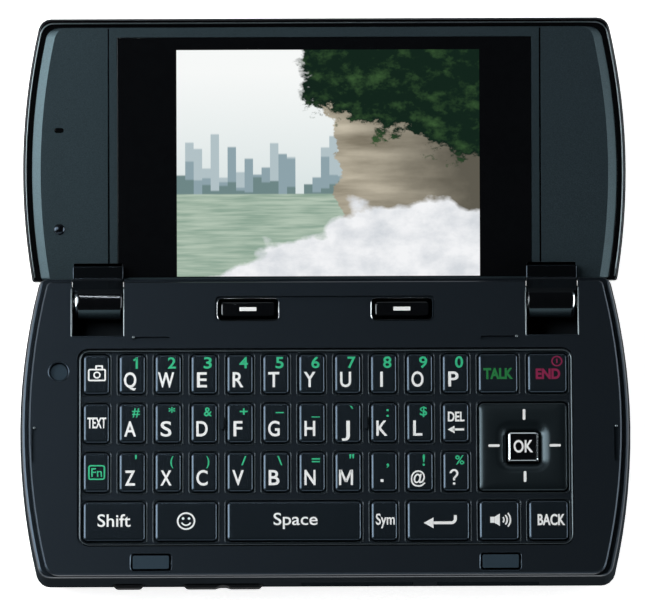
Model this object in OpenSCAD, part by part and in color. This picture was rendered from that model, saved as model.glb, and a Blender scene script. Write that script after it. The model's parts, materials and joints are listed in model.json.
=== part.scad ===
// Messaging flip phone: a keyboard half and a screen half on two barrel hinges.
// Millimetres, +Z up. The origin is the centre of the keyboard half's flat underside,
// +X runs along the hinge and +Y points from the front edge to the hinge.
// The lid is drawn closed, then turned about the hinge axis to its open stop.

/* [Keyboard half] */
// Width across the bowed sides
body_w = 113.2; // [108:0.1:118]
// Depth from the front edge to the hinge edge
base_d = 57.9; // [56.5:0.1:60]
// Thickness of the keyboard half
base_t = 11; // [10.6:0.1:12.5]
// How far the sides bow out past the corners
side_bow = 3.5; // [2.5:0.1:5]
// Corner radius of the outline at the front
corner_r = 2.4; // [1.8:0.1:3.2]
// Corner radius of the outline at the hinge edge
rear_corner_r = 1; // [0.8:0.1:2.4]
// Height at which the upper casing's skirt ends inside the lower casing
seam_z = 7; // [6.8:0.1:7.2]
// Wall of the moulded casings
wall = 1.4; // [1.2:0.05:1.6]
// How far the keyboard face lies inside the casing's sides
case_step = 1.7; // [1.2:0.1:1.8]
// How far the keyboard face lies behind the front wall
face_front = 0.2; // [0.1:0.05:0.5]
// Height of the keyboard face above the lower casing's rim
face_h = 1; // [0.9:0.1:1.2]
// Thickness of the keyboard face
plate_t = 1.6; // [1.4:0.05:1.7]

/* [Lid] */
// Thickness of the screen half
lid_t = 7; // [6.4:0.1:7.2]
// Gap between the closed halves
lid_gap = 0.2; // [0.15:0.05:0.4]
// How far the lid's sides lie inside the keyboard half's
lid_inset = 0.45; // [0.2:0.05:0.8]
// How far the lid's front edge lies inside the keyboard half's
lid_front = 0.3; // [0.1:0.1:0.6]
// Distance from the hinge axis to the lid's rear edge
lid_rear = 4.2; // [4.1:0.1:4.6]
// Opening angle at the stop
open_angle = 164; // [150:1:170]
// Width of the glossy rim that shows round the bezel
rim_w = 1.7; // [1.3:0.1:2]
// Depth of the rim below the bezel's face
rim_drop = 0.8; // [0.5:0.1:1.2]
// Thickness of the bezel
bezel_t = 2; // [1.8:0.1:2.4]
// Width of the bevel along the bezel's bowed sides
bezel_bevel = 1.6; // [1:0.1:2]

/* [Screen] */
// Width of the display window
window_w = 77; // [72:0.5:80]
// Distance from the hinge axis to the window's lower edge
window_s0 = 5; // [4.9:0.1:5.6]
// Distance from the lid's front edge to the window's upper edge
window_s1 = 3.6; // [3.4:0.1:5]
// Thickness of the window
window_t = 1; // [0.8:0.1:1.2]
// Width of the display panel
panel_w = 62; // [56:1:66]
// Thickness of the display panel
panel_t = 2.2; // [1.6:0.1:2.6]

/* [Hinge] */
// Distance of the hinge axis from the rear edge
hinge_inset = 4.4; // [4.3:0.1:5]
// Depth of the hinge axis below the keyboard face
hinge_drop = 2.5; // [2.2:0.1:2.8]
// Distance of each barrel's middle from the widest point of the side
barrel_x = 14.4; // [13.6:0.1:16]
// Radius of the barrels
barrel_r = 3; // [2.7:0.1:3.3]
// Width of the barrels
barrel_w = 9; // [8:0.1:9.4]
// Gap on each side of a barrel in its notch
barrel_side_gap = 0.35; // [0.25:0.05:0.5]
// Radius of the hinge pins
pin_r = 1.1; // [0.9:0.05:1.3]
// Running clearance of a pin in its barrel
pin_clear = 0.05; // [0.02:0.01:0.1]
// Clearance of a pin's ends in the cheeks
pin_fit = 0.02; // [0.01:0.01:0.04]
// How far a pin reaches into the cheek on each side
pin_seat = 2.2; // [1.5:0.1:2.4]
// Thickness of the cheeks that carry a pin
cheek_t = 2.8; // [2.5:0.1:3.2]

/* [Keyboard] */
// Width of a letter key
key_w = 4.87; // [4.4:0.01:5.2]
// Depth of a key
key_d = 7.65; // [7:0.05:8]
// Pitch of the letter columns
col_pitch = 6.66; // [6.4:0.01:6.7]
// Pitch of the rows
row_pitch = 9.5; // [9:0.05:9.6]
// Width of the wide keys at the right
wide_w = 7.35; // [6.8:0.05:7.6]
// Corner radius of a key
key_r = 0.9; // [0.5:0.1:1.2]
// Travel of a key
key_travel = 0.35; // [0.2:0.05:0.4]
// Gap between a key and its opening
key_clear = 0.2; // [0.15:0.05:0.25]
// Depth of the well that the keys stand in
well_depth = 0.6; // [0.3:0.1:0.7]
// Margin of the well round the keys
well_margin = 1.1; // [0.8:0.1:1.4]
// Distance from the hinge axis to the middle of the first row
first_row = 14.45; // [14:0.05:14.6]
// Width of the OK key
ok_w = 5.9; // [5:0.1:6.5]
// Width of a soft key
soft_w = 10.4; // [9:0.1:11]
// Depth of a soft key
soft_d = 3.2; // [2.8:0.1:3.4]
// Distance of each soft key from the centre line
soft_x = 14.3; // [12:0.1:16]
// Distance from the hinge axis to the soft keys' middle
soft_s = 1.9; // [1.6:0.1:2.2]

/* [Edge keys] */
// Middle of the round-ended key on the front edge
side_key_x = -36.5; // [-40:0.5:-34]
// Length of that key
side_key_w = 5.6; // [4:0.1:7]
// Middle of the volume rocker on the front edge
rocker_x = -19; // [-22:0.5:-17]
// Length of the rocker
rocker_w = 14.6; // [12:0.2:16]
// Height of the edge keys
edge_key_h = 2.2; // [1.8:0.1:2.6]
// Height of their middle above the underside
edge_key_z = 4.4; // [4.2:0.1:4.6]
// How far they stand out of the edge
edge_key_out = 0.6; // [0.5:0.1:0.9]
// Gap behind the wall in which the rocker tilts
tilt_gap = 0.3; // [0.25:0.05:0.4]

/* [Battery] */
// Length of the battery
battery_w = 53; // [46:0.5:56]
// Width of the battery
battery_d = 30; // [26:0.5:31]
// Thickness of the battery
battery_t = 4.6; // [4:0.1:4.8]
// Middle of the battery along the phone
battery_x = -8; // [-12:0.5:-4]
// Middle of the battery across the phone
battery_y = -6; // [-8:0.5:-5]
// Margin of the battery cover round the battery
cover_margin = 4; // [3:0.5:5]
// Clearance of the cover in its channel
cover_clear = 0.15; // [0.1:0.05:0.25]
// Thickness of the battery cover
cover_t = 1.2; // [1:0.1:1.4]

/* [Hidden] */
$fn = 48;
eps = 0.01;
over = 1;
corner_steps = 4;
side_steps = 14;
key_corner_steps = 3;
curve_steps = 4;
bore_steps = 64;
part_gap = 0.1;

hinge_y = base_d / 2 - hinge_inset;
hinge_z = base_t - hinge_drop;
hinge_x = body_w / 2 - barrel_x;
bow_r = (pow(base_d / 2, 2) + pow(side_bow, 2)) / (2 * side_bow);

// Lower casing: rounded underside, full wall, then a shoulder that rounds in to the rim
under_in = 3;
under_h = 4.4;
shoulder_in = 0.85;
shoulder_front = 0.1;
shoulder_h = 2.5;
face_z = base_t - face_h;
rim_z = face_z - part_gap;
// Upper casing: face with a small bevel and a skirt inside the lower casing's wall
face_rear = 0.9;
face_bevel = 0.25;
skirt_in = wall + part_gap;
plate_z = base_t - plate_t;

lid_z = base_t + lid_gap;
lid_hw = body_w / 2 - lid_inset;
lid_y0 = -base_d / 2 + lid_front;
lid_y1 = hinge_y - lid_rear;
lid_mid = (lid_y0 + lid_y1) / 2;
crown_in = 3.2;
crown_h = 2.4;
rim_edge = 0.3;
rim_edge_h = 0.4;
lid_wall = 1.2;
ledge_w = 1;
bezel_edge_h = 0.1;
window_end = hinge_y - lid_y0 - window_s1;
window_set = 0.05;
panel_gap = 0.2;
panel_rest = 0.4;
wing_seam = 1.5;
wing_seam_w = 0.35;
wing_seam_depth = 0.5;
outer_window_w = 50;
outer_window_d = 22;
outer_window_r = 3;
outer_groove = 0.3;

notch_w = barrel_w + 2 * barrel_side_gap;
notch_clear = 0.6;
notch_floor = hinge_z - barrel_r - notch_clear;
notch_front = 7.25;
neck_in = 0.1;
neck_w = barrel_w - 2 * neck_in;
neck_end = notch_front - 0.25;
pocket_gap = 0.6;
neck_rise = 1.3;
neck_ramp = 4.7;
neck_t = bezel_t - 0.05;
neck_reach = 2;
tab_start = lid_rear + wall + 0.3;
tab_end = 12;
tab_t = 1.4;
tab_w = neck_w - 1.5;

key_gap = col_pitch - key_w;
keyboard_w = 10 * col_pitch + key_w + 2 * (key_gap + wide_w);
keyboard_d = 3 * row_pitch + key_d;
well_r = 2;
flange_w = 0.5;
flange_t = 0.6;
flange_gap = 0.06;
board_t = 1;
board_z = seam_z;
board_gap = 0.4;
stem_r = 1;
stem_gap = 0.05;
stem_z = board_z + board_t + key_travel + stem_gap;
key_top = base_t - 0.05;
key_crown = 0.12;
key_rim = 0.14;
key_rim_h = 0.2;
key_land = 0.6;
dpad_w = 2 * wide_w + key_gap;
dpad_d = row_pitch + key_d;
dpad_arm = dpad_w / 2 - 2.5;
dish_w = 2;
dish_h = 0.45;
ok_r = 0.6;
ok_bevel = 0.35;
ok_dish = 1.1;
ok_dish_h = 0.25;
soft_frame = 0.9;
soft_frame_r = 0.8;
soft_recess = 0.4;
soft_r = 0.6;
soft_top = base_t - 0.1;
rib_w = 0.6;
rib_d = 2.6;
rib_low = 0.1;

edge_round = 0.45;
waist_r = 2.6;
waist_depth = 0.4;

pad_w = 7;
pad_d = 2.9;
pad_x = hinge_x - 9.9;
pad_front = 2.55;
pad_t = 0.7;
pad_r = 0.45;
pad_bevel = 0.15;
pad_proud = 0.1;
stop_x = 7.2 - body_w / 2;
stop_s = 13.95;
stop_r = 1.65;
stop_depth = 0.5;
nub_r = 1.3;
nub_rise = 0.5;
light_s = 32.4;
light_w = 1.8;
light_d = 1;
light_depth = 0.6;
slit_w = 0.8;
slit_l = 7;
slit_depth = 0.4;
slit_edge = 2.7;
slit_s = 28.2;

cover_r = 4;
cover_gap = 0.1;
bay_clear = 0.2;
bay_head = 0.2;
grip_x = 10.5 - body_w / 2;
grip_pitch = 1.6;
grip_w = 0.7;
grip_d = 14;
grip_depth = 0.35;

camera_x = 39;
camera_y = 9;
camera_r = 3.4;
camera_z = 0.6;
camera_clear = 0.2;
speaker_x = 39;
speaker_y = -11;
speaker_r = 6;
speaker_pitch = 1.8;
speaker_slot = 0.8;
motor_x = 11.5 - body_w / 2;
motor_y = -8;
motor_r = 2;
motor_l = 8;

// Port covers as boxes in plan: left, right, front, rear
door_t = 0.9;
door_z0 = 2.8;
door_z1 = 6;
door_reach = 3;
DOORS = [
    [-4.4, 16, -base_d, -base_d / 2 + door_reach],
    [20.7, 39.3, -base_d, -base_d / 2 + door_reach],
    [body_w / 2 - door_reach - 1, body_w, hinge_y - 22, hinge_y - 1.2]
];

// Named rows of the single-width keys, left to right
ROW_KEYS = [
    ["camera", "q", "w", "e", "r", "t", "y", "u", "i", "o", "p"],
    ["text", "a", "s", "d", "f", "g", "h", "j", "k", "l", "delete"],
    ["function", "z", "x", "c", "v", "b", "n", "m", "period", "at", "question"]
];
// Bottom row: name, first column, last column
SPAN_KEYS = [["shift", 0, 1], ["smiley", 2, 3], ["space", 4, 7], ["symbol", 8, 8], ["enter", 9, 10]];
// Wide keys at the right: name, which of the two columns, row
WIDE_KEYS = [["talk", 0, 0], ["end", 1, 0], ["speaker", 0, 3], ["back", 1, 3]];

function col_x(c) = -keyboard_w / 2 + key_w / 2 + c * col_pitch;
function wide_x(c) = keyboard_w / 2 - wide_w / 2 - (1 - c) * (wide_w + key_gap);
function row_y(r) = hinge_y - first_row - r * row_pitch;

// Every keyboard key as [name, x, y, width]
KEYS = concat(
    [for (r = [0:2], c = [0:10]) [ROW_KEYS[r][c], col_x(c), row_y(r), key_w]],
    [for (k = SPAN_KEYS) [k[0], (col_x(k[1]) + col_x(k[2])) / 2, row_y(3), (k[2] - k[1]) * col_pitch + key_w]],
    [for (k = WIDE_KEYS) [k[0], wide_x(k[1]), row_y(k[2]), wide_w]]
);
dpad_x = (wide_x(0) + wide_x(1)) / 2;
dpad_y = (row_y(1) + row_y(2)) / 2;
SOFT_KEYS = [["soft_left", -soft_x], ["soft_right", soft_x]];

function arc(c, r, a0, a1, steps) = [for (i = [0:steps]) let (a = a0 + (a1 - a0) * i / steps)
    [c[0] + r * cos(a), c[1] + r * sin(a)]];
function quarter(steps) = [for (i = [0:steps]) 90 * i / steps];
// Outline with bowed sides: half width, front and rear edges, their corner radii, inset of the bow
function corner_x(hw, bow, yc, r) = hw - bow + sqrt(pow(bow - r, 2) - yc * yc);
function bowed(hw, y0, y1, r0, r1, inset = 0) = let (
        bow = bow_r - inset,
        yf = y0 + r0, xf = corner_x(hw, bow, yf, r0), af = atan2(yf, xf - hw + bow),
        yr = y1 - r1, xr = corner_x(hw, bow, yr, r1), ar = atan2(yr, xr - hw + bow))
    concat(
        arc([hw - bow, 0], bow, af, ar, side_steps),
        [for (p = arc([xr, yr], r1, ar, 90, corner_steps)) if (p[1] > yr + r1 * sin(ar) + eps / 10) p],
        [for (p = arc([-xr, yr], r1, 90, 180 - ar, corner_steps)) if (p[1] > yr + r1 * sin(ar) + eps / 10) p],
        arc([bow - hw, 0], bow, 180 - ar, 180 - af, side_steps),
        [for (p = arc([-xf, yf], r0, 180 - af, 270, corner_steps)) if (p[1] < yf + r0 * sin(af) - eps / 10) p],
        [for (p = arc([xf, yf], r0, 270, 360 + af, corner_steps)) if (p[1] < yf + r0 * sin(af) - eps / 10) p]
    );
function case_outline(side, front, rear) = bowed(body_w / 2 - side, -base_d / 2 + front, base_d / 2 - rear,
    corner_r, rear_corner_r, side);
function base_outline(inset) = case_outline(inset, inset, inset);
function face_outline(inset) = case_outline(case_step + inset, face_front + inset, face_rear + inset);
function lid_outline(inset, bevel = 0) = bowed(lid_hw - inset - bevel, lid_y0 + inset, lid_y1 - inset / 4,
    corner_r, rear_corner_r / 2, inset + bevel);
function round_rect(w, d, r, steps = key_corner_steps) = concat(
    arc([w / 2 - r, d / 2 - r], r, 0, 90, steps),
    arc([r - w / 2, d / 2 - r], r, 90, 180, steps),
    arc([r - w / 2, r - d / 2], r, 180, 270, steps),
    arc([w / 2 - r, r - d / 2], r, 270, 360, steps));
function at_z(outline, z) = [for (p = outline) [p[0], p[1], z]];

// Solid skinned over rings of equal point counts, listed from the bottom up
module loft(rings) {
    n = len(rings[0]);
    m = len(rings);
    polyhedron(
        points = [for (ring = rings) each ring],
        faces = concat(
            [[for (i = [0:n - 1]) i]],
            [for (j = [0:m - 2], i = [0:n - 1]) each let (a = j * n + i, b = j * n + (i + 1) % n)
                [[a, a + n, b], [b, a + n, b + n]]],
            [[for (i = [n - 1:-1:0]) (m - 1) * n + i]]));
}
module slab(outline, z0, z1) {
    translate([0, 0, z0]) linear_extrude(z1 - z0) polygon(outline);
}
module block(x0, x1, y0, y1, z0, z1) {
    translate([x0, y0, z0]) cube([x1 - x0, y1 - y0, z1 - z0]);
}
module both_sides() {
    children();
    mirror([1, 0, 0]) children();
}
module along_x(x, y, z, r, length) {
    translate([x - length / 2, y, z]) rotate([0, 90, 0]) cylinder(r = r, h = length, $fn = bore_steps);
}
// Places what is drawn in the closed lid at the open stop
module opened() {
    translate([0, hinge_y, hinge_z]) rotate([-open_angle, 0, 0]) translate([0, -hinge_y, -hinge_z]) children();
}

// Outer forms of the two casings
module rear_form() {
    loft(concat(
        [for (a = quarter(curve_steps)) at_z(base_outline(under_in * (1 - sin(a))), under_h * (1 - cos(a)))],
        [for (a = quarter(curve_steps)) let (f = shoulder_front * (1 - cos(a)))
            at_z(case_outline(shoulder_in * (1 - cos(a)), f, f), rim_z - shoulder_h * (1 - sin(a)))]));
}
module face_form() {
    loft([at_z(face_outline(0), face_z), at_z(face_outline(0), base_t - face_bevel),
          at_z(face_outline(face_bevel), base_t)]);
}
module skirt_form() {
    slab(base_outline(skirt_in), seam_z, face_z + eps);
}
module hinge_notch() {
    block(hinge_x - notch_w / 2, hinge_x + notch_w / 2, hinge_y - notch_front, base_d / 2 + over,
        notch_floor, base_t + over);
}
// Solid cheeks and floor round a notch, before the notch is cut
module hinge_housing(z0, z1) {
    block(hinge_x - notch_w / 2 - cheek_t, hinge_x + notch_w / 2 + cheek_t,
        hinge_y - notch_front - wall, base_d / 2, z0, z1);
}
module key_opening(w, d, r = key_r) {
    slab(round_rect(w + 2 * key_clear, d + 2 * key_clear, r + key_clear), plate_z - over, base_t + over);
}
module slit(length) {
    slab(round_rect(length, slit_w, slit_w / 2 - eps), base_t - slit_depth, base_t + over);
}
module at_pads() {
    both_sides() translate([pad_x, pad_front - base_d / 2, 0]) children();
}

module keyboard_case() color([0.09, 0.1, 0.11]) {
    difference() {
        union() {
            difference() {
                union() {
                    face_form();
                    skirt_form();
                }
                slab(base_outline(skirt_in + wall), seam_z - over, plate_z);
            }
            intersection() {
                skirt_form();
                both_sides() hinge_housing(seam_z, (plate_z + face_z) / 2);
            }
        }
        both_sides() hinge_notch();
        both_sides() along_x(hinge_x, hinge_y, hinge_z, pin_r + pin_fit, notch_w + 2 * (pin_seat + pin_fit));
        translate([0, (row_y(0) + row_y(3)) / 2, 0])
            slab(round_rect(keyboard_w + 2 * well_margin, keyboard_d + 2 * well_margin, well_r),
                base_t - well_depth, base_t + over);
        for (k = KEYS) translate([k[1], k[2], 0]) key_opening(k[3], key_d);
        translate([dpad_x, dpad_y, 0]) key_opening(dpad_w, dpad_d);
        translate([0, hinge_y - soft_s, 0])
            slab(round_rect(2 * soft_x + soft_w + 2 * soft_frame, soft_d + 2 * soft_frame, soft_frame_r),
                base_t - soft_recess, base_t + over);
        for (k = SOFT_KEYS) translate([k[1], hinge_y - soft_s, 0]) key_opening(soft_w, soft_d, soft_r);
        at_pads() slab(round_rect(pad_w + 2 * part_gap, pad_d + 2 * part_gap, pad_r + part_gap),
            base_t + pad_proud - pad_t, base_t + over);
        translate([stop_x, hinge_y - stop_s, base_t - stop_depth - pad_t])
            cylinder(r = stop_r + part_gap, h = pad_t + stop_depth + over);
        both_sides() translate([pad_x, hinge_y - notch_front - slit_w / 2, 0]) slit(slit_l);
        both_sides() translate([body_w / 2 - slit_edge, hinge_y - slit_s, 0]) rotate([0, 0, 90]) slit(slit_l);
    }
    // Low ribs that keep the closed screen off the keys
    for (c = [3, 7]) translate([col_x(c) + col_pitch / 2, row_y(1), 0])
        slab(round_rect(rib_w, rib_d, rib_w / 2 - eps), base_t - well_depth - eps, base_t - rib_low);
}

module battery_bay(grow, z0, z1) {
    block(battery_x - battery_w / 2 - grow, battery_x + battery_w / 2 + grow,
        battery_y - battery_d / 2 - grow, battery_y + battery_d / 2 + grow, z0, z1);
}
// Channel of the battery cover, open at the left end so that the cover slides out there
module cover_channel(grow, z0, z1) {
    right = battery_x + battery_w / 2 + cover_margin + grow;
    half = battery_d / 2 + cover_margin + grow;
    length = right + body_w;
    translate([right - length / 2, battery_y, 0]) slab(round_rect(length, 2 * half, cover_r + grow), z0, z1);
}
// Skin of the casing's wall inside a box: the shape of a port cover and, grown, of its recess
module door_skin(door, grow) {
    intersection() {
        rear_form();
        difference() {
            block(door[0] - grow, door[1] + grow, door[2], door[3] + grow, door_z0 - grow, door_z1 + grow);
            slab(base_outline(door_t + grow), -over, seam_z + over);
        }
    }
}
module edge_opening(x, w) {
    translate([x, -base_d / 2 - over, edge_key_z]) rotate([-90, 0, 0]) linear_extrude(wall + 2 * over)
        polygon(round_rect(w + 2 * key_clear, edge_key_h + 2 * key_clear, edge_key_h / 2));
}

module rear_case() color([0.07, 0.08, 0.09]) difference() {
    union() {
        difference() {
            rear_form();
            slab(base_outline(wall), wall, rim_z + over);
        }
        intersection() {
            rear_form();
            union() {
                battery_bay(wall, wall / 2, board_z - part_gap / 2);
                cover_channel(wall, wall / 2, cover_t + wall);
                both_sides() hinge_housing(wall / 2, seam_z);
            }
        }
    }
    battery_bay(bay_clear, -over, cover_t + cover_gap + battery_t + bay_head);
    cover_channel(cover_clear, -over, cover_t + cover_gap);
    both_sides() hinge_notch();
    edge_opening(side_key_x, side_key_w);
    edge_opening(rocker_x, rocker_w);
    for (door = DOORS) door_skin(door, part_gap);
    translate([camera_x, camera_y, -over]) cylinder(r = camera_r + camera_clear, h = wall + 2 * over);
    for (i = [-2:2]) let (y = speaker_pitch * i) translate([speaker_x, speaker_y + y, 0])
        slab(round_rect(2 * sqrt(pow(speaker_r - speaker_slot, 2) - y * y), speaker_slot, speaker_slot / 2 - eps),
            -over, wall + over);
}

// Its left end is the casing's own rounded edge
module battery_cover() color([0.06, 0.07, 0.08]) difference() {
    intersection() {
        rear_form();
        cover_channel(0, -over, cover_t);
    }
    for (i = [-2:2]) translate([grip_x + grip_pitch * i, battery_y, 0])
        slab(round_rect(grip_w, grip_d, grip_w / 2 - eps), -over, grip_depth);
}
module battery() color([0.2, 0.22, 0.24]) {
    battery_bay(0, cover_t + cover_gap, cover_t + cover_gap + battery_t);
}

// Board with the camera, loudspeaker and vibration motor on its underside
module circuit_board() color([0.05, 0.3, 0.18]) {
    difference() {
        slab(base_outline(skirt_in + wall + board_gap), board_z, board_z + board_t);
        both_sides() block(hinge_x - notch_w / 2 - cheek_t - board_gap, body_w,
            hinge_y - notch_front - wall - board_gap, base_d, board_z - over, board_z + board_t + over);
    }
    translate([camera_x, camera_y, camera_z]) cylinder(r = camera_r, h = board_z - camera_z + eps);
    translate([speaker_x, speaker_y, wall + part_gap]) cylinder(r = speaker_r, h = board_z - wall - part_gap + eps);
    along_x(motor_x, motor_y, board_z - motor_r, motor_r, motor_l);
    block(motor_x - motor_r, motor_x + motor_r, motor_y - motor_r, motor_y + motor_r,
        board_z - motor_r / 2, board_z + eps);
}

module rubber_inserts() color([0.2, 0.24, 0.26]) {
    at_pads() loft([
        at_z(round_rect(pad_w, pad_d, pad_r), base_t + pad_proud - pad_t),
        at_z(round_rect(pad_w, pad_d, pad_r), base_t + pad_proud - pad_bevel),
        at_z(round_rect(pad_w - 2 * pad_bevel, pad_d - 2 * pad_bevel, pad_r - pad_bevel), base_t + pad_proud)]);
    translate([stop_x, hinge_y - stop_s, base_t - stop_depth - pad_t]) cylinder(r = stop_r, h = pad_t);
    for (door = DOORS) door_skin(door, 0);
}

// A key: crowned cap, retaining flange under the face and a stem over its switch
module key_body(w, d, top = key_top, r = key_r, gap = flange_gap) {
    loft([at_z(round_rect(w, d, r), plate_z - gap - eps),
          at_z(round_rect(w, d, r), top - key_crown - key_rim_h),
          at_z(round_rect(w - 2 * key_rim, d - 2 * key_rim, r - key_rim), top - key_crown),
          at_z(round_rect(w - 2 * key_land, d - 2 * key_land, r / 2), top)]);
    slab(round_rect(w + 2 * flange_w, d + 2 * flange_w, r), plate_z - gap - flange_t, plate_z - gap);
}
module key_stem(x, y) {
    translate([x, y, stem_z]) cylinder(r = stem_r, h = plate_z - flange_gap - flange_t - stem_z + eps);
}
module keyboard_key(k) color([0.1, 0.11, 0.12]) {
    translate([k[1], k[2], 0]) {
        key_body(k[3], key_d);
        key_stem(0, 0);
    }
}
module soft_key(x) color([0.03, 0.03, 0.035]) {
    translate([x, hinge_y - soft_s, 0]) {
        key_body(soft_w, soft_d, soft_top, soft_r);
        key_stem(0, 0);
    }
}

// Square rocker plate with a dished hole for the OK key, stems under its four arms
module key_dpad() color([0.1, 0.11, 0.12]) translate([dpad_x, dpad_y, 0]) {
    hole = ok_w + 2 * key_clear;
    difference() {
        key_body(dpad_w, dpad_d, gap = tilt_gap);
        loft([at_z(round_rect(hole, hole, ok_r + key_clear), stem_z - over),
              at_z(round_rect(hole, hole, ok_r + key_clear), key_top - dish_h),
              at_z(round_rect(ok_w + 2 * dish_w, ok_w + 2 * dish_w, dish_w), key_top + eps)]);
    }
    for (a = [0:90:270]) rotate([0, 0, a]) key_stem(dpad_arm, 0);
}
module key_ok() color([0.02, 0.02, 0.02]) translate([dpad_x, dpad_y, 0]) {
    crown = ok_w - 2 * ok_bevel;
    dish = ok_w - 2 * ok_dish;
    difference() {
        loft([at_z(round_rect(ok_w, ok_w, ok_r), plate_z - flange_gap - flange_t),
              at_z(round_rect(ok_w, ok_w, ok_r), key_top - ok_bevel),
              at_z(round_rect(crown, crown, ok_r - ok_bevel / 2), key_top)]);
        loft([at_z(round_rect(dish, dish, ok_r / 3), key_top - ok_dish_h),
              at_z(round_rect(dish + ok_dish, dish + ok_dish, ok_r / 2), key_top + eps)]);
    }
    key_stem(0, 0);
}

// Keys in the front edge: a rounded cap through the wall and a flange behind it
module edge_key(x, w, waist, gap) color([0.05, 0.055, 0.06]) {
    front = -base_d / 2 - edge_key_out;
    inner = -base_d / 2 + wall + gap;
    end_r = edge_key_h / 2 - eps;
    tip = 2 * edge_round;
    translate([x, 0, edge_key_z]) rotate([-90, 0, 0]) {
        difference() {
            loft([at_z(round_rect(w - tip, edge_key_h - tip, end_r - edge_round), front),
                  at_z(round_rect(w, edge_key_h, end_r), front + edge_round),
                  at_z(round_rect(w, edge_key_h, end_r), inner + eps)]);
            if (waist > 0) translate([0, 0, front - waist + waist_depth]) rotate([90, 0, 0])
                cylinder(r = waist, h = edge_key_h + over, center = true);
        }
        slab(round_rect(w + 2 * flange_w, edge_key_h + 2 * flange_w, end_r), inner, inner + flange_t);
    }
}
module side_key() edge_key(side_key_x, side_key_w, 0, part_gap);
module volume_rocker() edge_key(rocker_x, rocker_w, waist_r, tilt_gap);

// Lid pieces, drawn closed: distances from the hinge axis and depths from the inner face
module lid_block(x0, x1, s0, s1, n0, n1) {
    block(x0, x1, hinge_y - s1, hinge_y - s0, lid_z + n0, lid_z + n1);
}
module neck_pockets() {
    both_sides() lid_block(hinge_x - neck_w / 2 - part_gap, hinge_x + neck_w / 2 + part_gap,
        lid_rear - neck_reach, neck_end + pocket_gap, -neck_rise - part_gap, neck_t + part_gap);
}
module lid_cover() color([0.02, 0.02, 0.025]) opened() difference() {
    loft(concat(
        [at_z(lid_outline(rim_edge), lid_z + rim_drop), at_z(lid_outline(0), lid_z + rim_drop + rim_edge_h)],
        [for (a = quarter(curve_steps))
            at_z(lid_outline(crown_in * (1 - cos(a))), lid_z + lid_t - crown_h * (1 - sin(a)))]));
    slab(lid_outline(rim_w - part_gap), lid_z - over, lid_z + bezel_t);
    slab(lid_outline(rim_w + ledge_w), lid_z + bezel_t - over, lid_z + lid_t - lid_wall);
    neck_pockets();
    // Outline groove of the outer display window
    translate([0, lid_mid, lid_z + lid_t - outer_groove]) difference() {
        slab(round_rect(outer_window_w, outer_window_d, outer_window_r), 0, over);
        slab(round_rect(outer_window_w - 2 * outer_groove, outer_window_d - 2 * outer_groove,
            outer_window_r - outer_groove), -over, 2 * over);
    }
}
module lid_bezel() color([0.16, 0.19, 0.21]) opened() {
    panel_x = panel_w / 2 + panel_gap;
    window_x = window_w / 2;
    difference() {
        loft([at_z(lid_outline(rim_w, bezel_bevel), lid_z),
              at_z(lid_outline(rim_w), lid_z + rim_drop + bezel_edge_h),
              at_z(lid_outline(rim_w), lid_z + bezel_t)]);
        lid_block(-window_x - part_gap, window_x + part_gap, window_s0 - part_gap, window_end + part_gap,
            -over, window_t + part_gap);
        lid_block(-panel_x, panel_x, window_s0 + panel_rest - panel_gap, window_end - panel_rest + panel_gap,
            0, bezel_t + over);
        neck_pockets();
        // Seams between the side wings and the screen frame
        both_sides() lid_block(window_x + wing_seam, window_x + wing_seam + wing_seam_w, 0, base_d,
            -over, wing_seam_depth);
        // Opening of the status light
        translate([stop_x, hinge_y - light_s, 0])
            slab(round_rect(light_w, light_d, light_d / 2 - eps), lid_z - over, lid_z + light_depth);
    }
    // Stop nub that lands on the round pad
    intersection() {
        translate([stop_x, hinge_y - stop_s, lid_z + nub_r - nub_rise]) sphere(r = nub_r);
        translate([stop_x - over, hinge_y - stop_s - over, lid_z - over]) cube([2 * over, 2 * over, over + part_gap]);
    }
}
module display_window() color([0.02, 0.02, 0.02]) opened() difference() {
    lid_block(-window_w / 2, window_w / 2, window_s0, window_end, window_set, window_t);
    neck_pockets();
}
module display_panel() color([0.75, 0.82, 0.8]) opened() {
    panel_n = window_t + part_gap;
    lid_block(-panel_w / 2, panel_w / 2, window_s0 + panel_rest, window_end - panel_rest, panel_n, panel_n + panel_t);
}
// Side view of the neck that ramps from the barrel up onto the bezel, as [distance from axis, depth]
module neck_side() {
    axis_n = -lid_gap - hinge_drop;
    reach = barrel_r * cos(45);
    polygon([for (p = [
        [0, axis_n], [reach, axis_n - reach], [neck_ramp, -neck_rise], [neck_end, -neck_rise],
        [neck_end, neck_t], [lid_rear, neck_t], [barrel_r * sin(15), axis_n + barrel_r * cos(15)]
    ]) [hinge_y - p[0], lid_z + p[1]]]);
}
// Barrel, neck and fixing tab in one moulding on each side
module hinge_knuckles() color([0.01, 0.01, 0.012]) opened() both_sides() difference() {
    union() {
        along_x(hinge_x, hinge_y, hinge_z, barrel_r, barrel_w);
        translate([hinge_x - neck_w / 2, 0, 0]) rotate([90, 0, 90]) linear_extrude(neck_w) neck_side();
        lid_block(hinge_x - tab_w / 2, hinge_x + tab_w / 2, tab_start, tab_end, bezel_t + part_gap / 2, bezel_t + tab_t);
        lid_block(hinge_x - tab_w / 2, hinge_x + tab_w / 2, tab_start, neck_end, 0, bezel_t + tab_t);
    }
    along_x(hinge_x, hinge_y, hinge_z, pin_r + pin_clear, barrel_w + 2 * over);
}
module hinge_pins() color([0.6, 0.6, 0.62]) both_sides() {
    along_x(hinge_x, hinge_y, hinge_z, pin_r, notch_w + 2 * pin_seat);
}

lid_cover();
lid_bezel();
display_window();
display_panel();
hinge_knuckles();
hinge_pins();
keyboard_case();
rear_case();
battery_cover();
battery();
circuit_board();
rubber_inserts();
key_dpad();
key_ok();
side_key();
volume_rocker();
for (k = SOFT_KEYS) soft_key(k[1]);
for (k = KEYS) keyboard_key(k);
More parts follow.
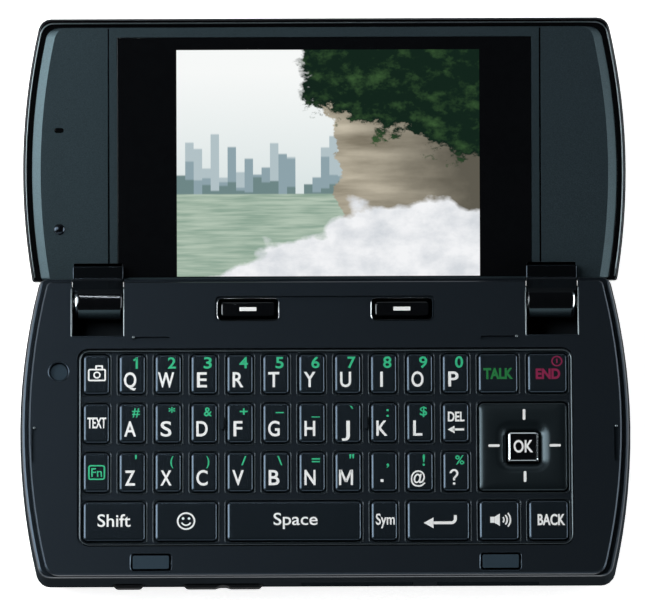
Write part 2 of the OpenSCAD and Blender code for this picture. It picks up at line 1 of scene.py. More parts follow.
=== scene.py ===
import bpy
import bmesh
import json
import math
from mathutils import Matrix, Vector


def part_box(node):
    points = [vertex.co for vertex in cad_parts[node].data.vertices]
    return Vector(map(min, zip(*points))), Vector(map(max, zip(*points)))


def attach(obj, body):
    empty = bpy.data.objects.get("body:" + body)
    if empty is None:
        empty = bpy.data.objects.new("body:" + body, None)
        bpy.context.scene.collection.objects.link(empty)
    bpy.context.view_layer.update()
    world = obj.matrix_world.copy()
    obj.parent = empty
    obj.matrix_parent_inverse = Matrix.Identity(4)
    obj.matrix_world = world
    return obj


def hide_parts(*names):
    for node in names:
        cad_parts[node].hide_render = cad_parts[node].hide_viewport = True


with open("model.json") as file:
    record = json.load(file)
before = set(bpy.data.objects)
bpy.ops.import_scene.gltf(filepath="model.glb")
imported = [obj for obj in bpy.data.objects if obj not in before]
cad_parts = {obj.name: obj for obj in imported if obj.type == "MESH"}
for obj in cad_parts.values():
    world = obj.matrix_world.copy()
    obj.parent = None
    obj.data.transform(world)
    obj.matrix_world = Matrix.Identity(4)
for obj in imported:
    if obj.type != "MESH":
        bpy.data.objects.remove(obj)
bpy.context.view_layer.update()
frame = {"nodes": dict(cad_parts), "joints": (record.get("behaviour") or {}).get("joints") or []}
nodes = frame["nodes"]
mm = 0.001
print("frame loaded:", len(nodes), "nodes")

# Places that the frame gives: hinge axis, opening angle, keyboard face
lidHinge = next(j for j in frame["joints"] if j["name"] == "lid_hinge")
hingePoint = Vector(lidHinge["pos_m"])
lidTilt = math.pi - math.radians(max(lidHinge["range_deg"]))
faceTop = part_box("keyboard_case")[1].z
lidFaceDrop = 2.7 * mm  # from the hinge axis down to the lid's inner face
lidUp = Vector((0, math.cos(lidTilt), math.sin(lidTilt)))
lidOut = Vector((0, math.sin(lidTilt), -math.cos(lidTilt)))
bothSides = (("left", -1), ("right", 1))


def lidMatrix(x, along, depth):
    # Local x, y, z become x, along the lid away from the hinge, and out of its inner face
    place = hingePoint + Vector((x, 0, 0)) + along * lidUp + (lidFaceDrop + depth) * lidOut
    return Matrix.Translation(place) @ Matrix.Rotation(lidTilt, 4, "X")


# Colours and shader nodes
def hexToLinear(code):
    channels = [int(code[i:i + 2], 16) / 255 for i in (1, 3, 5)]
    return [c / 12.92 if c <= 0.04045 else ((c + 0.055) / 1.055) ** 2.4 for c in channels] + [1.0]


def addNode(tree, kind, inputs=(), **settings):
    # Inputs by socket or in order: a node is linked by its first live output, a hex colour turned to linear
    node = tree.nodes.new("ShaderNode" + kind)
    for name, value in settings.items():
        setattr(node, name, value)
    for socket, value in inputs.items() if isinstance(inputs, dict) else enumerate(inputs):
        if isinstance(value, bpy.types.Node):
            value = next(output for output in value.outputs if output.enabled)
        if isinstance(value, bpy.types.NodeSocket):
            tree.links.new(value, node.inputs[socket])
        else:
            node.inputs[socket].default_value = hexToLinear(value) if isinstance(value, str) else value
    return node


def startMaterial(name):
    material = bpy.data.materials.new(name)
    material.use_nodes = True
    material.node_tree.nodes.clear()
    return material, material.node_tree


# What a surface has unless its settings say otherwise: sizes in mm, bump as strength and depth, coat as
# weight and roughness
surfaceDefaults = {"fleck": 0.2, "clouds": 5.0, "grain": 0.12, "bump": (0.1, 0.008), "metallic": 0.0,
                   "ior": 1.5, "sheen": "#ffffff", "coat": (0.0, 0.05), "shine": 0.5}
mattZone = {"blend": 0.12 * mm, "roughness": 0.7}


def finishedSurface(name, look):
    # A moulded, painted or printed skin: two close tones in soft clouds, fine grain in bump and roughness
    look = {**surfaceDefaults, **look}
    base, cloud, flecks = look["tones"]
    rough, spread = look["rough"]
    bumpStrength, bumpDepth = look["bump"]
    material, tree = startMaterial(name)
    coords = addNode(tree, "TexCoord").outputs["Object"]
    clouds = addNode(tree, "TexNoise",
                     {"Vector": coords, "Scale": 1 / (look["clouds"] * mm), "Detail": 3.0})
    grain = addNode(tree, "TexNoise",
                    {"Vector": coords, "Scale": 1 / (look["grain"] * mm), "Detail": 2.0})
    share = addNode(tree, "MapRange", (grain, 0.35, 0.65, 0.0, look["fleck"]))
    tone = addNode(tree, "Mix", {0: clouds, 6: base, 7: cloud}, data_type="RGBA")
    colour = addNode(tree, "Mix", {0: share, 6: tone, 7: flecks}, data_type="RGBA")
    rough = addNode(tree, "MapRange", (grain, 0.0, 1.0, rough - spread, rough + spread))
    bump = addNode(tree, "Bump",
                   {"Height": grain, "Strength": bumpStrength, "Distance": bumpDepth * mm})
    shine = look["shine"]
    if "matt" in look:
        # Dead matt between two distances along a direction
        direction, start, end, dullColour = look["matt"]
        along = addNode(tree, "VectorMath", (coords, direction), operation="DOT_PRODUCT")
        blend = mattZone["blend"]
        begun, ended = (addNode(tree, "MapRange", (along, edge - blend, edge + blend))
                        for edge in (start, end))
        dull = addNode(tree, "Math", (begun, ended), operation="SUBTRACT")
        rough = addNode(tree, "Mix", {0: dull, 2: rough, 3: mattZone["roughness"]})
        shine = addNode(tree, "MapRange", (dull, 0.0, 1.0, look["shine"], 0.0))
        colour = addNode(tree, "Mix", {0: dull, 6: colour, 7: dullColour}, data_type="RGBA")
    shader = addNode(tree, "BsdfPrincipled",
                     {"Base Color": colour, "Roughness": rough, "Specular IOR Level": shine, "Normal": bump,
                      "Metallic": look["metallic"], "IOR": look["ior"], "Specular Tint": look["sheen"],
                      "Coat Weight": look["coat"][0], "Coat Roughness": look["coat"][1]})
    addNode(tree, "OutputMaterial", {"Surface": shader})
    return material


# Soft-touch paint over moulded ABS: a dark blue-black skin with a dull, even sheen
softTouchPaint = finishedSurface("soft_touch_black_paint", {
    "tones": ("#080a0d", "#0a0d10", "#11161a"), "fleck": 0.25, "clouds": 9.0, "rough": (0.42, 0.04),
    "bump": (0.2, 0.01), "sheen": "#c2e2ff"})
# Lower casing: the same paint, smoother on its rounded shoulder and left dead matt below it, where a lighter
# grey is painted in as the sheen of the wall
casingPaint = finishedSurface("casing_black_paint", {
    "tones": ("#080a0d", "#0a0d10", "#11161a"), "clouds": 9.0, "rough": (0.3, 0.05), "bump": (0.15, 0.01),
    "sheen": "#c2e2ff", "matt": ((0, 0, -1), -9.4 * mm, 1.0, "#24292d")})
# Satin black ABS of the hinge necks
satinBlack = finishedSurface("satin_black_abs", {
    "tones": ("#050607", "#070809", "#0b0d0f"), "clouds": 6.0, "rough": (0.2, 0.03), "bump": (0.06, 0.008),
    "sheen": "#c2e2ff"})
# Bright trim along thin rounded edges and trim lines: a lighter, metallic finish painted on as a highlight
highlightTrim = finishedSurface("painted_highlight_trim", {
    "tones": ("#6f7b80", "#7a868b", "#8b979b"), "fleck": 0.3, "clouds": 3.0, "grain": 0.2,
    "rough": (0.3, 0.06), "bump": (0.05, 0.005), "metallic": 0.85})
# Lips of the key openings: the casing's lacquer made lighter and partly metallic, a painted highlight along
# them
lipHighlightLacquer = finishedSurface("lip_painted_highlight_lacquer", {
    "tones": ("#2b343a", "#323c42", "#3d484f"), "fleck": 0.3, "clouds": 3.0, "grain": 0.15,
    "rough": (0.24, 0.04), "bump": (0.06, 0.005), "metallic": 0.6})
# The bead round the key well: the same kind of painted highlight, less bright than the trim
beadHighlightLacquer = finishedSurface("bead_painted_highlight_lacquer", {
    "tones": ("#4a5459", "#525c61", "#5e686c"), "fleck": 0.3, "clouds": 3.0, "grain": 0.2,
    "rough": (0.3, 0.06), "bump": (0.05, 0.005), "metallic": 0.85})
# Mirror-polished plating on the OK key's cut edges
polishedPlate = finishedSurface("polished_plating", {
    "tones": ("#a9b2b6", "#b3bcc0", "#bcc5c8"), "clouds": 2.0, "grain": 0.3, "rough": (0.16, 0.03),
    "bump": (0.02, 0.004), "metallic": 1.0})
# Slate lacquer with metal flakes: flakes drawn about twice their size so that they show
slateLacquer = finishedSurface("slate_flake_lacquer", {
    "tones": ("#1f292e", "#1d262b", "#3a4850"), "fleck": 0.45, "clouds": 12.0, "grain": 0.16,
    "rough": (0.42, 0.08), "bump": (0.3, 0.012), "metallic": 0.25, "ior": 1.7, "sheen": "#c4eaf4"})
# High-gloss black ABS under clear lacquer, with faint wipe marks in its shine
pianoBlack = finishedSurface("gloss_black_lacquer", {
    "tones": ("#08090b", "#0b0c0e", "#0e1012"), "clouds": 6.0, "grain": 1.5, "rough": (0.08, 0.02),
    "bump": (0.02, 0.01), "sheen": "#d8ecf8", "coat": (0.6, 0.04)})
# The lid's outer shell: the same gloss lacquer, with a dead matt band round its side
lidDepth = hingePoint.dot(lidOut) + lidFaceDrop
shellBlack = finishedSurface("gloss_black_shell", {
    "tones": ("#060708", "#090a0c", "#0c0e10"), "clouds": 6.0, "grain": 1.5, "rough": (0.08, 0.02),
    "bump": (0.02, 0.01), "sheen": "#d8ecf8",
    "matt": (lidOut, lidDepth + 0.95 * mm, lidDepth + 3.4 * mm, "#0a0b0d")})
# Key tops of moulded polycarbonate, satin from a fine spark-eroded mould
keyPlastic = finishedSurface("satin_key_polycarbonate", {
    "tones": ("#12181c", "#151b20", "#1e262c"), "grain": 0.1, "rough": (0.22, 0.03), "bump": (0.08, 0.006),
    "ior": 1.65, "sheen": "#c2e2ff"})
# The four-way plate: the same polycarbonate from a coarser mould, with a broader sheen
platePlastic = finishedSurface("textured_key_polycarbonate", {
    "tones": ("#080d10", "#0a1013", "#12181b"), "rough": (0.33, 0.04), "bump": (0.12, 0.008), "ior": 1.65,
    "sheen": "#c8e6f4"})
# Soft thermoplastic rubber: matt and slightly blue-grey
insertRubber = finishedSurface("thermoplastic_rubber", {
    "tones": ("#1e2b33", "#212f38", "#2c3b45"), "fleck": 0.3, "clouds": 3.0, "grain": 0.15,
    "rough": (0.62, 0.08), "bump": (0.4, 0.015), "sheen": "#c2e2ff",
    "matt": ((0, -1, 0), 28.3 * mm, 1.0, "#171d21")})
# Dull black for the edge keys, and as painted shade on the back of the barrels: almost no shine
dullBlack = finishedSurface("dull_black_abs", {
    "tones": ("#0b0e11", "#0d1114", "#13181b"), "clouds": 4.0, "rough": (0.55, 0.05), "ior": 1.15})
# Ground steel pin, with fine turning marks in its roughness
pinSteel = finishedSurface("ground_steel", {
    "tones": ("#9a9ca0", "#a6a8ab", "#85878b"), "fleck": 0.4, "clouds": 2.0, "grain": 0.08,
    "rough": (0.28, 0.08), "bump": (0.1, 0.004), "metallic": 1.0})
# Shrink-wrapped lithium cell: dull grey film
cellFilm = finishedSurface("cell_wrap_film", {
    "tones": ("#3a3f44", "#42474c", "#4d5358"), "fleck": 0.3, "clouds": 7.0, "grain": 0.4,
    "rough": (0.5, 0.1), "bump": (0.2, 0.02)})
# Glass-fibre board under green solder mask
boardMask = finishedSurface("solder_mask_board", {
    "tones": ("#123f2a", "#164a32", "#1d5a3d"), "fleck": 0.3, "clouds": 4.0, "grain": 0.5,
    "rough": (0.35, 0.08), "bump": (0.2, 0.02)})


# Pad-printed inks: flat, opaque and slightly uneven
def padPrint(name, *tones):
    return finishedSurface(name, {"tones": tones, "fleck": 0.3, "clouds": 2.0, "grain": 0.1,
                                  "rough": (0.5, 0.05), "bump": (0.05, 0.004)})


whiteInk = padPrint("white_pad_print", "#f8faf9", "#f2f5f4", "#fcfdfd")
greenInk = padPrint("green_pad_print", "#2cc088", "#29b680", "#38cf97")
callInk = padPrint("dark_green_pad_print", "#0b7536", "#0a6c31", "#128542")
endInk = padPrint("crimson_pad_print", "#870842", "#7c073c", "#98124e")
print("surface materials made")


# CAD nodes: merged, their edges rounded, shaded smooth: material, edge radius in mm, least edge angle
nodeFinish = {
    "lid_cover": (shellBlack, 0.08, 30), "lid_bezel": (slateLacquer, 0.1, 15),
    "display_window": (pianoBlack, 0.05, 30), "display_panel": (boardMask, 0.1, 30),
    "hinge_pins": (pinSteel, 0.1, 30), "keyboard_case": (softTouchPaint, 0.15, 30),
    "rear_case": (casingPaint, 0.12, 30), "battery_cover": (casingPaint, 0.12, 30),
    "battery": (cellFilm, 0.4, 30), "circuit_board": (boardMask, 0.05, 30),
    "rubber_inserts": (insertRubber, 0.12, 30), "side_key": (dullBlack, 0.08, 30),
    "volume_rocker": (dullBlack, 0.08, 30)}
nodeMesh = {"merge": 0.002 * mm, "flatAngle": 0.5, "segments": 2, "faceWeight": 80}


def smoothNormals(piece):
    normals = piece.modifiers.new("normals", "WEIGHTED_NORMAL")
    normals.weight = nodeMesh["faceWeight"]


def finishNode(name, material, edgeRadius, edgeAngle):
    piece = nodes[name]
    piece.data.materials.clear()
    piece.data.materials.append(material)
    piece.data.polygons.foreach_set("use_smooth", [True] * len(piece.data.polygons))
    weld = piece.modifiers.new("weld", "WELD")
    weld.merge_threshold = nodeMesh["merge"]
    flats = piece.modifiers.new("flats", "DECIMATE")
    flats.decimate_type = "DISSOLVE"
    flats.angle_limit = math.radians(nodeMesh["flatAngle"])
    edges = piece.modifiers.new("edges", "BEVEL")
    edges.width = edgeRadius * mm
    edges.segments = nodeMesh["segments"]
    edges.limit_method = "ANGLE"
    edges.angle_limit = math.radians(edgeAngle)
    edges.use_clamp_overlap = True
    smoothNormals(piece)


for nodeName, finish in nodeFinish.items():
    finishNode(nodeName, *finish)
print("CAD nodes finished:", len(nodeFinish))


# New pieces
def linkObject(name, data):
    item = bpy.data.objects.new(name, data)
    bpy.context.scene.collection.objects.link(item)
    return item


def addPiece(name, shape, material, body, smooth=True, turnOut=True, weighted=False):
    mesh = bpy.data.meshes.new(name)
    if turnOut:
        bmesh.ops.recalc_face_normals(shape, faces=shape.faces)
    shape.to_mesh(mesh)
    shape.free()
    mesh.polygons.foreach_set("use_smooth", [smooth] * len(mesh.polygons))
    mesh.materials.append(material)
    piece = linkObject(name, mesh)
    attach(piece, body)
    if weighted:
        smoothNormals(piece)
    return piece


def roundEdges(shape, edges, radius, segments):
    bmesh.ops.bevel(shape, geom=list(edges), offset=radius, affect="EDGES", segments=segments, profile=0.5,
                    material=-1)


def topFace(shape):
    shape.normal_update()
    return max(shape.faces, key=lambda f: f.normal.z * 10 + f.calc_center_median().z + f.calc_area())


def boxShape(low, high):
    shape = bmesh.new()
    bmesh.ops.create_cube(shape, size=1.0)
    bmesh.ops.scale(shape, vec=high - low, verts=shape.verts)
    bmesh.ops.translate(shape, vec=(low + high) / 2, verts=shape.verts)
    shape.normal_update()
    return shape


def uprightEdges(shape):
    return [e for e in shape.edges if abs((e.verts[0].co - e.verts[1].co).normalized().z) > 0.9]


def movedVerts(result):
    return [v for v in result["geom"] if isinstance(v, bmesh.types.BMVert)]


# Hinge barrels with rounded ends, and the necks that carry the lid. A neck's side outline is given as
# distance from the axis and depth from the lid's face
knuckle = {"radius": 3.0, "width": 9.0, "outerRound": 1.1, "innerRound": 0.4, "neckWidth": 9.4,
           "edgeRound": 0.2,
           "neck": ((1.0, -2.7), (2.25, -4.6), (4.7, -1.5), (7.0, -1.25), (7.0, 1.9), (4.25, 1.9)),
           "paintedReflectionLow": 5, "paintedReflectionHigh": 48, "paintedHighlightLow": 0.3, "paintedHighlightHigh": 0.95, "paintedShadeFrom": 112}


def makeKnuckle(name, side):
    halfWidth = knuckle["width"] * mm / 2
    middle = side * (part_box("hinge_knuckles")[1].x - halfWidth)
    shape = bmesh.new()
    turn = Matrix.Translation((middle, hingePoint.y, hingePoint.z)) @ Matrix.Rotation(math.pi / 2, 4, "Y")
    bmesh.ops.create_cone(shape, cap_ends=True, segments=72, radius1=knuckle["radius"] * mm,
                          radius2=knuckle["radius"] * mm, depth=2 * halfWidth, matrix=turn)
    for end, radius in ((side, knuckle["outerRound"]), (-side, knuckle["innerRound"])):
        rims = [e for e in shape.edges if sum(len(f.verts) > 4 for f in e.link_faces) == 1
                and min(end * (v.co.x - middle) for v in e.verts) > halfWidth - 1e-6]
        roundEdges(shape, rims, radius * mm, 8)
    barrel = addPiece(name + "_barrel", shape, pianoBlack, "lid", weighted=True)
    # Painted light, chosen by the way each face points: a lighter slate band along the barrel's front is a
    # painted reflection, its outer end is plated as a painted highlight and its back is dull black as
    # painted shade
    for finish in (slateLacquer, polishedPlate, dullBlack):
        barrel.data.materials.append(finish)
    for face in barrel.data.polygons:
        facing = math.degrees(math.atan2(face.normal.z, -face.normal.y))
        if abs(face.normal.x) < 0.1 and knuckle["paintedReflectionLow"] < facing < knuckle["paintedReflectionHigh"]:
            face.material_index = 1
        if knuckle["paintedHighlightLow"] < side * face.normal.x < knuckle["paintedHighlightHigh"]:
            face.material_index = 2
        if not -90 < facing < knuckle["paintedShadeFrom"]:
            face.material_index = 3
    # The neck's side outline is pulled across
    shape = bmesh.new()
    left = middle - knuckle["neckWidth"] * mm / 2
    corners = [shape.verts.new(lidMatrix(left, along * mm, depth * mm).translation)
               for along, depth in knuckle["neck"]]
    pulled = bmesh.ops.extrude_face_region(shape, geom=[shape.faces.new(corners)])
    bmesh.ops.translate(shape, vec=(knuckle["neckWidth"] * mm, 0, 0), verts=movedVerts(pulled))
    bmesh.ops.recalc_face_normals(shape, faces=shape.faces)
    roundEdges(shape, shape.edges, knuckle["edgeRound"] * mm, 4)
    neck = addPiece(name + "_neck", shape, satinBlack, "lid", weighted=True)
    for piece in (barrel, neck):
        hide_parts("hinge_knuckles")


for sideName, side in bothSides:
    makeKnuckle("hinge_" + sideName, side)
print("hinge barrels and necks made")

# Key caps: round corners and softly rolled top edges
keyCap = {"flange": 0.5, "cornerRadius": 0.8, "edgeRadius": 0.6, "segments": 6}
softKeys = ("key_soft_left", "key_soft_right")
keyNodes = [n for n in nodes if n.startswith("key_") and n not in ("key_dpad", "key_ok")]


def makeKeyCap(node):
    low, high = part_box(node)
    margin = Vector((keyCap["flange"] * mm, keyCap["flange"] * mm, 0))
    shape = boxShape(low + margin, high - margin)
    roundEdges(shape, uprightEdges(shape), keyCap["cornerRadius"] * mm, keyCap["segments"])
    roundEdges(shape, topFace(shape).edges, keyCap["edgeRadius"] * mm, keyCap["segments"])
    material, slot = (pianoBlack, "gloss_black") if node in softKeys else (keyPlastic, "key_plastic")
    cap = addPiece(node + "_cap", shape, material, node, weighted=True)
    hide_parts(node)


for keyName in keyNodes:
    makeKeyCap(keyName)
print("key caps made:", len(keyNodes))


def bridgeRings(shape, rings):
    # Round-cornered rectangles (middle, half width, half depth, corner) are bridged into a closed ring
    loops = []
    for middle, halfWidth, halfDepth, corner in rings:
        place = Matrix.Translation(middle) @ Matrix.Diagonal((halfWidth, halfDepth, 1, 1))
        square = bmesh.ops.create_grid(shape, x_segments=1, y_segments=1, size=1.0, matrix=place)["verts"]
        bmesh.ops.bevel(shape, geom=square, offset=corner, affect="VERTICES", segments=6, profile=0.5,
                        material=-1)
        inside = min(shape.faces, key=lambda f: (f.calc_center_median() - middle).length)
        loops.append(list(inside.edges))
        bmesh.ops.delete(shape, geom=[inside], context="FACES_ONLY")
    for loop, following in zip(loops, loops[1:] + loops[:1]):
        bmesh.ops.bridge_loops(shape, edges=loop + following)


# Four-way plate: rolled edges as inset, drop and corner, then a square dish as width, drop and corner
fourWay = {"flange": 0.5, "hole": 6.3, "holeCorner": 0.6, "holeDrop": 0.96,
           "edge": ((0.0, 0.75, 0.9), (0.05, 0.52, 0.9), (0.17, 0.32, 0.9), (0.42, 0.15, 0.95),
                    (0.85, 0.05, 1.2), (1.4, 0.0, 1.7), (2.0, 0.0, 2.4)),
           "dish": ((10.6, 0.0, 3.0), (9.6, 0.07, 2.5), (8.6, 0.24, 2.0), (7.6, 0.5, 1.4), (6.6, 0.86, 0.8))}


def makeFourWayPlate():
    low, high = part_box("key_dpad")
    centre = (low + high) / 2
    half = (high - low) / 2 - Vector((fourWay["flange"], fourWay["flange"], 0)) * mm
    hole, holeCorner = fourWay["hole"] * mm / 2, fourWay["holeCorner"] * mm
    under = Vector((centre.x, centre.y, low.z))
    rings = [(under, half.x, half.y, fourWay["edge"][0][2] * mm)]
    for inset, drop, corner in fourWay["edge"]:
        middle = Vector((centre.x, centre.y, high.z - drop * mm))
        rings.append((middle, half.x - inset * mm, half.y - inset * mm, corner * mm))
    for width, drop, corner in fourWay["dish"]:
        middle = Vector((centre.x, centre.y, high.z - drop * mm))
        rings.append((middle, width * mm / 2, width * mm / 2, corner * mm))
    for level in (high.z - fourWay["holeDrop"] * mm, low.z):
        rings.append((Vector((centre.x, centre.y, level)), hole, hole, holeCorner))
    shape = bmesh.new()
    bridgeRings(shape, rings)
    plate = addPiece("key_dpad_plate", shape, platePlastic, "key_dpad", weighted=True)
    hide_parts("key_dpad")


makeFourWayPlate()

# OK key: gloss black with a shallow pyramid-shaped dish inside plated, cut edges
okKey = {"cornerRadius": 0.3, "cornerFrom": 2.3, "cutWidth": 0.5, "cutSlope": (0.2, 0.9), "dishInset": 2.2,
         "dishDrop": 0.3}


def makeOkKey():
    low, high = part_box("key_ok")
    centre = (low + high) / 2
    shape = boxShape(low, high)
    roundEdges(shape, topFace(shape).edges, okKey["cutWidth"] * mm, 1)
    shape.normal_update()
    steepest, flattest = okKey["cutSlope"]
    for face in shape.faces:
        face.material_index = 1 if steepest < face.normal.z < flattest else 0
    bmesh.ops.inset_individual(shape, faces=[topFace(shape)], thickness=okKey["dishInset"] * mm,
                               depth=-okKey["dishDrop"] * mm)
    corners = [e for e in shape.edges if all(abs(v.co[axis] - centre[axis]) > okKey["cornerFrom"] * mm
                                             for v in e.verts for axis in (0, 1))]
    roundEdges(shape, corners, okKey["cornerRadius"] * mm, 2)
    key = addPiece("key_ok_cap", shape, pianoBlack, "key_ok", smooth=False)
    key.data.materials.append(polishedPlate)
    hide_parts("key_ok")


makeOkKey()
print("four-way plate and OK key made")

# Rings in the upper casing: a bead inside the key well's wall with a painted highlight on its top, lips
# round the key openings, frames round the soft keys and rest pads. A profile gives inset and height, grow
# the distance from a node's box
wellBead = {"low": (-45.55, -23.1, 0), "high": (45.75, 14.68, 0), "corner": 1.8, "floor": 0.58,
            "highlightTilt": (0.6, 0.99),
            "profile": ((0, -0.68), (0, 0.005), (0.12, -0.035), (0.25, -0.16), (0.38, -0.58), (0.38, -0.68))}
keyLips = {"grow": -0.02, "corner": 0.78,
           "profile": ((0, -0.05), (0.05, 0.06), (0.13, 0.1), (0.26, 0.07), (0.26, -0.05))}
softFrame = {"grow": 0.14, "corner": 1.0, "drop": 0.08,
             "profile": ((0, -0.4), (0.02, -0.12), (0.12, 0), (0.18, 0), (0.34, -0.2), (0.34, -0.4))}
padFrame = {"place": (32.3, -26.4), "half": (3.9, 1.85), "corner": 0.8,
            "profile": ((0, -0.2), (0, 0.02), (0.1, 0.08), (0.2, 0.08), (0.3, 0.02), (0.3, -0.2))}


def makeRings(name, boxes, settings, level, material):
    reach = settings.get("grow", 0) * mm
    grow = Vector((reach, reach, 0))
    shape = bmesh.new()
    for low, high in boxes:
        low, high = low - grow, high + grow
        half = (high - low) / 2
        rings = []
        for inset, height in settings["profile"]:
            middle = (low + high) / 2
            middle.z = (level + height) * mm
            rings.append((middle, half.x - inset * mm, half.y - inset * mm,
                          max(settings["corner"] - inset, 0.05) * mm))
        bridgeRings(shape, rings)
    return addPiece(name, shape, material, "base", weighted=True)


def makeCasingRings():
    wellBox = (Vector(wellBead["low"]) * mm, Vector(wellBead["high"]) * mm)
    top = faceTop / mm
    bead = makeRings("key_well_rim", [wellBox], wellBead, top, keyPlastic)
    # Its top rounding, the faces that lean between about 8 and 53 degrees, gets the painted highlight
    bead.data.materials.append(beadHighlightLacquer)
    steepest, flattest = wellBead["highlightTilt"]
    for face in bead.data.polygons:
        face.material_index = 1 if steepest < face.normal.z < flattest else 0
    lipBoxes = [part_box(n) for n in nodes if n.startswith("key_") and n not in softKeys + ("key_ok",)]
    # The lips' lighter finish is a painted highlight
    makeRings("key_opening_lips", lipBoxes, keyLips, top - wellBead["floor"], lipHighlightLacquer)
    for node in softKeys:
        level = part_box(node)[1].z / mm - softFrame["drop"]
        makeRings("frame_" + node[4:], [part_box(node)], softFrame, level, polishedPlate)
    x, y = padFrame["place"]
    halfX, halfY = padFrame["half"]
    for name, side in bothSides:
        low = Vector((side * x - halfX, y - halfY, 0)) * mm
        high = Vector((side * x + halfX, y + halfY, 0)) * mm
        makeRings("frame_rest_pad_" + name, [(low, high)], padFrame, top, keyPlastic)


# Ring round the stop pad, and bright dots at the ends of the slits, which are painted glints
stopRing = {"place": (-49.4, 10.6), "radius": 1.9, "tube": 0.16, "sink": 0.05, "sides": 10, "steps": 40}
slitGlints = {"hinge": (35.55, 17.25), "edge": (53.9, -0.3), "radius": 0.26, "flat": 0.6, "sink": 0.1}


def tubeProfile(shape, radius, segments, matrix):
    ring = bmesh.ops.create_circle(shape, cap_ends=False, segments=segments, radius=radius, matrix=matrix)
    return ring["verts"] + list({e for v in ring["verts"] for e in v.link_edges})


def makeStopRing():
    centre = Vector((*stopRing["place"], faceTop / mm - stopRing["sink"])) * mm
    shape = bmesh.new()
    upright = (Matrix.Translation(centre + Vector((stopRing["radius"] * mm, 0, 0)))
               @ Matrix.Rotation(math.pi / 2, 4, "X"))
    loop = tubeProfile(shape, stopRing["tube"] * mm, stopRing["sides"], upright)
    bmesh.ops.spin(shape, geom=loop, cent=centre, axis=(0, 0, 1), angle=2 * math.pi, steps=stopRing["steps"],
                   use_merge=True)
    addPiece("frame_stop_pad", shape, keyPlastic, "base")


# Bright dots at the slits' ends: painted glints
def makeSlitGlints():
    for place in ("hinge", "edge"):
        x, y = slitGlints[place]
        for name, side in bothSides:
            centre = Matrix.Translation((side * x * mm, y * mm, faceTop - slitGlints["sink"] * mm))
            shape = bmesh.new()
            bmesh.ops.create_uvsphere(shape, u_segments=16, v_segments=10, radius=slitGlints["radius"] * mm,
                                      matrix=centre)
            bmesh.ops.scale(shape, vec=(1, 1, slitGlints["flat"]), space=Matrix.Translation((0, 0, -faceTop)),
                            verts=shape.verts)
            addPiece("glint_dot_" + place + "_" + name, shape, highlightTrim, "base")


# Camera window in the underside: a plated ring round a domed gloss pane. Insets and depths of the ring
cameraWindow = {"place": (39.0, 9.0, 0.45), "radius": 3.4, "thickness": 0.3,
                "ring": ((0.18, 0.1), (0.42, -0.05)), "domeInset": 0.5,
                "domeRises": (0.048, 0.036, 0.024, 0.012)}


def makeCameraWindow():
    shape = bmesh.new()
    bmesh.ops.create_cone(shape, cap_ends=True, segments=48, radius1=cameraWindow["radius"] * mm,
                          radius2=cameraWindow["radius"] * mm, depth=cameraWindow["thickness"] * mm,
                          matrix=Matrix.Translation(Vector(cameraWindow["place"]) * mm))
    shape.normal_update()
    front = min(shape.faces, key=lambda f: f.normal.z)
    for inset, depth in cameraWindow["ring"]:
        bmesh.ops.inset_individual(shape, faces=[front], thickness=inset * mm, depth=depth * mm)
    ringFaces = {f for f in shape.faces if f is not front}
    for rise in cameraWindow["domeRises"]:
        bmesh.ops.inset_individual(shape, faces=[front], thickness=cameraWindow["domeInset"] * mm,
                                   depth=rise * mm)
    for face in shape.faces:
        face.material_index = 1 if face in ringFaces else 0
    window = addPiece("camera_window", shape, pianoBlack, "base", weighted=True)
    window.data.materials.append(polishedPlate)


# Lips along the hinge notches: at the sides bright trim as a painted highlight line, plain in front
notchLips = {"outer": 47.1, "inner": 37.3, "front": 7.2, "rear": 2.2, "width": 0.3, "rise": 0.025,
             "round": 0.135}


def makeNotchLips():
    half = notchLips["width"] * mm / 2
    front, rear = hingePoint.y - notchLips["front"] * mm, hingePoint.y + notchLips["rear"] * mm
    lower, upper = faceTop - notchLips["width"] * mm, faceTop + notchLips["rise"] * mm
    for name, side in bothSides:
        outer, inner = side * notchLips["outer"] * mm, side * notchLips["inner"] * mm
        ends = sorted((outer, inner))
        for edge, low, high, material in (
                ("outer", (outer - half, front, lower), (outer + half, rear, upper), highlightTrim),
                ("inner", (inner - half, front, lower), (inner + half, rear, upper), highlightTrim),
                ("front", (ends[0], front - half, lower), (ends[1], front + half, upper), keyPlastic)):
            shape = boxShape(Vector(low), Vector(high))
            roundEdges(shape, shape.edges, notchLips["round"] * mm, 4)
            addPiece("notch_lip_" + name + "_" + edge, shape, material, "base",
                     weighted=True)


makeCasingRings()
makeStopRing()
makeSlitGlints()
makeCameraWindow()
makeNotchLips()
print("casing rims made")

# Lid trim: a bright bead round the gloss rim as a painted highlight line, dark strips in the seams beside
# the screen frame as painted shade, status lens and stop nub
rimHighlight = {"sideBow": 121.48, "halfWidth": 56.15, "bowMiddle": 24.55, "near": 5.0, "far": 52.35,
           "corner": 2.4, "inset": 0.6, "radius": 0.12, "depth": 0.8, "sides": 8, "sideSteps": 28,
           "cornerSteps": 8}
seamShade = {"x": 40.18, "width": 0.33, "near": 7.7, "far": 51.3, "top": 0.12, "floor": 0.45, "round": 0.05}
statusLens = {"x": -49.4, "along": 32.4, "half": (0.88, 0.48), "corner": 0.456, "top": 0.2, "floor": 0.5,
              "round": 0.15}
stopNub = {"x": -49.4, "along": 13.95, "radius": 1.32, "rise": 0.52, "cut": 0.1}


def layOnLid(shape, depth=0.0):
    bmesh.ops.transform(shape, matrix=lidMatrix(0, 0, depth * mm), verts=shape.verts)


def sweepProfile(shape, loop, x, y, angle, steps):
    # Turns the last profile loop about a centre in the lid's plane and gives the new last loop
    turned = bmesh.ops.spin(shape, geom=loop, cent=Vector((x, y, 0)) * mm, axis=(0, 0, 1), angle=angle,
                            steps=steps)
    return turned["geom_last"]
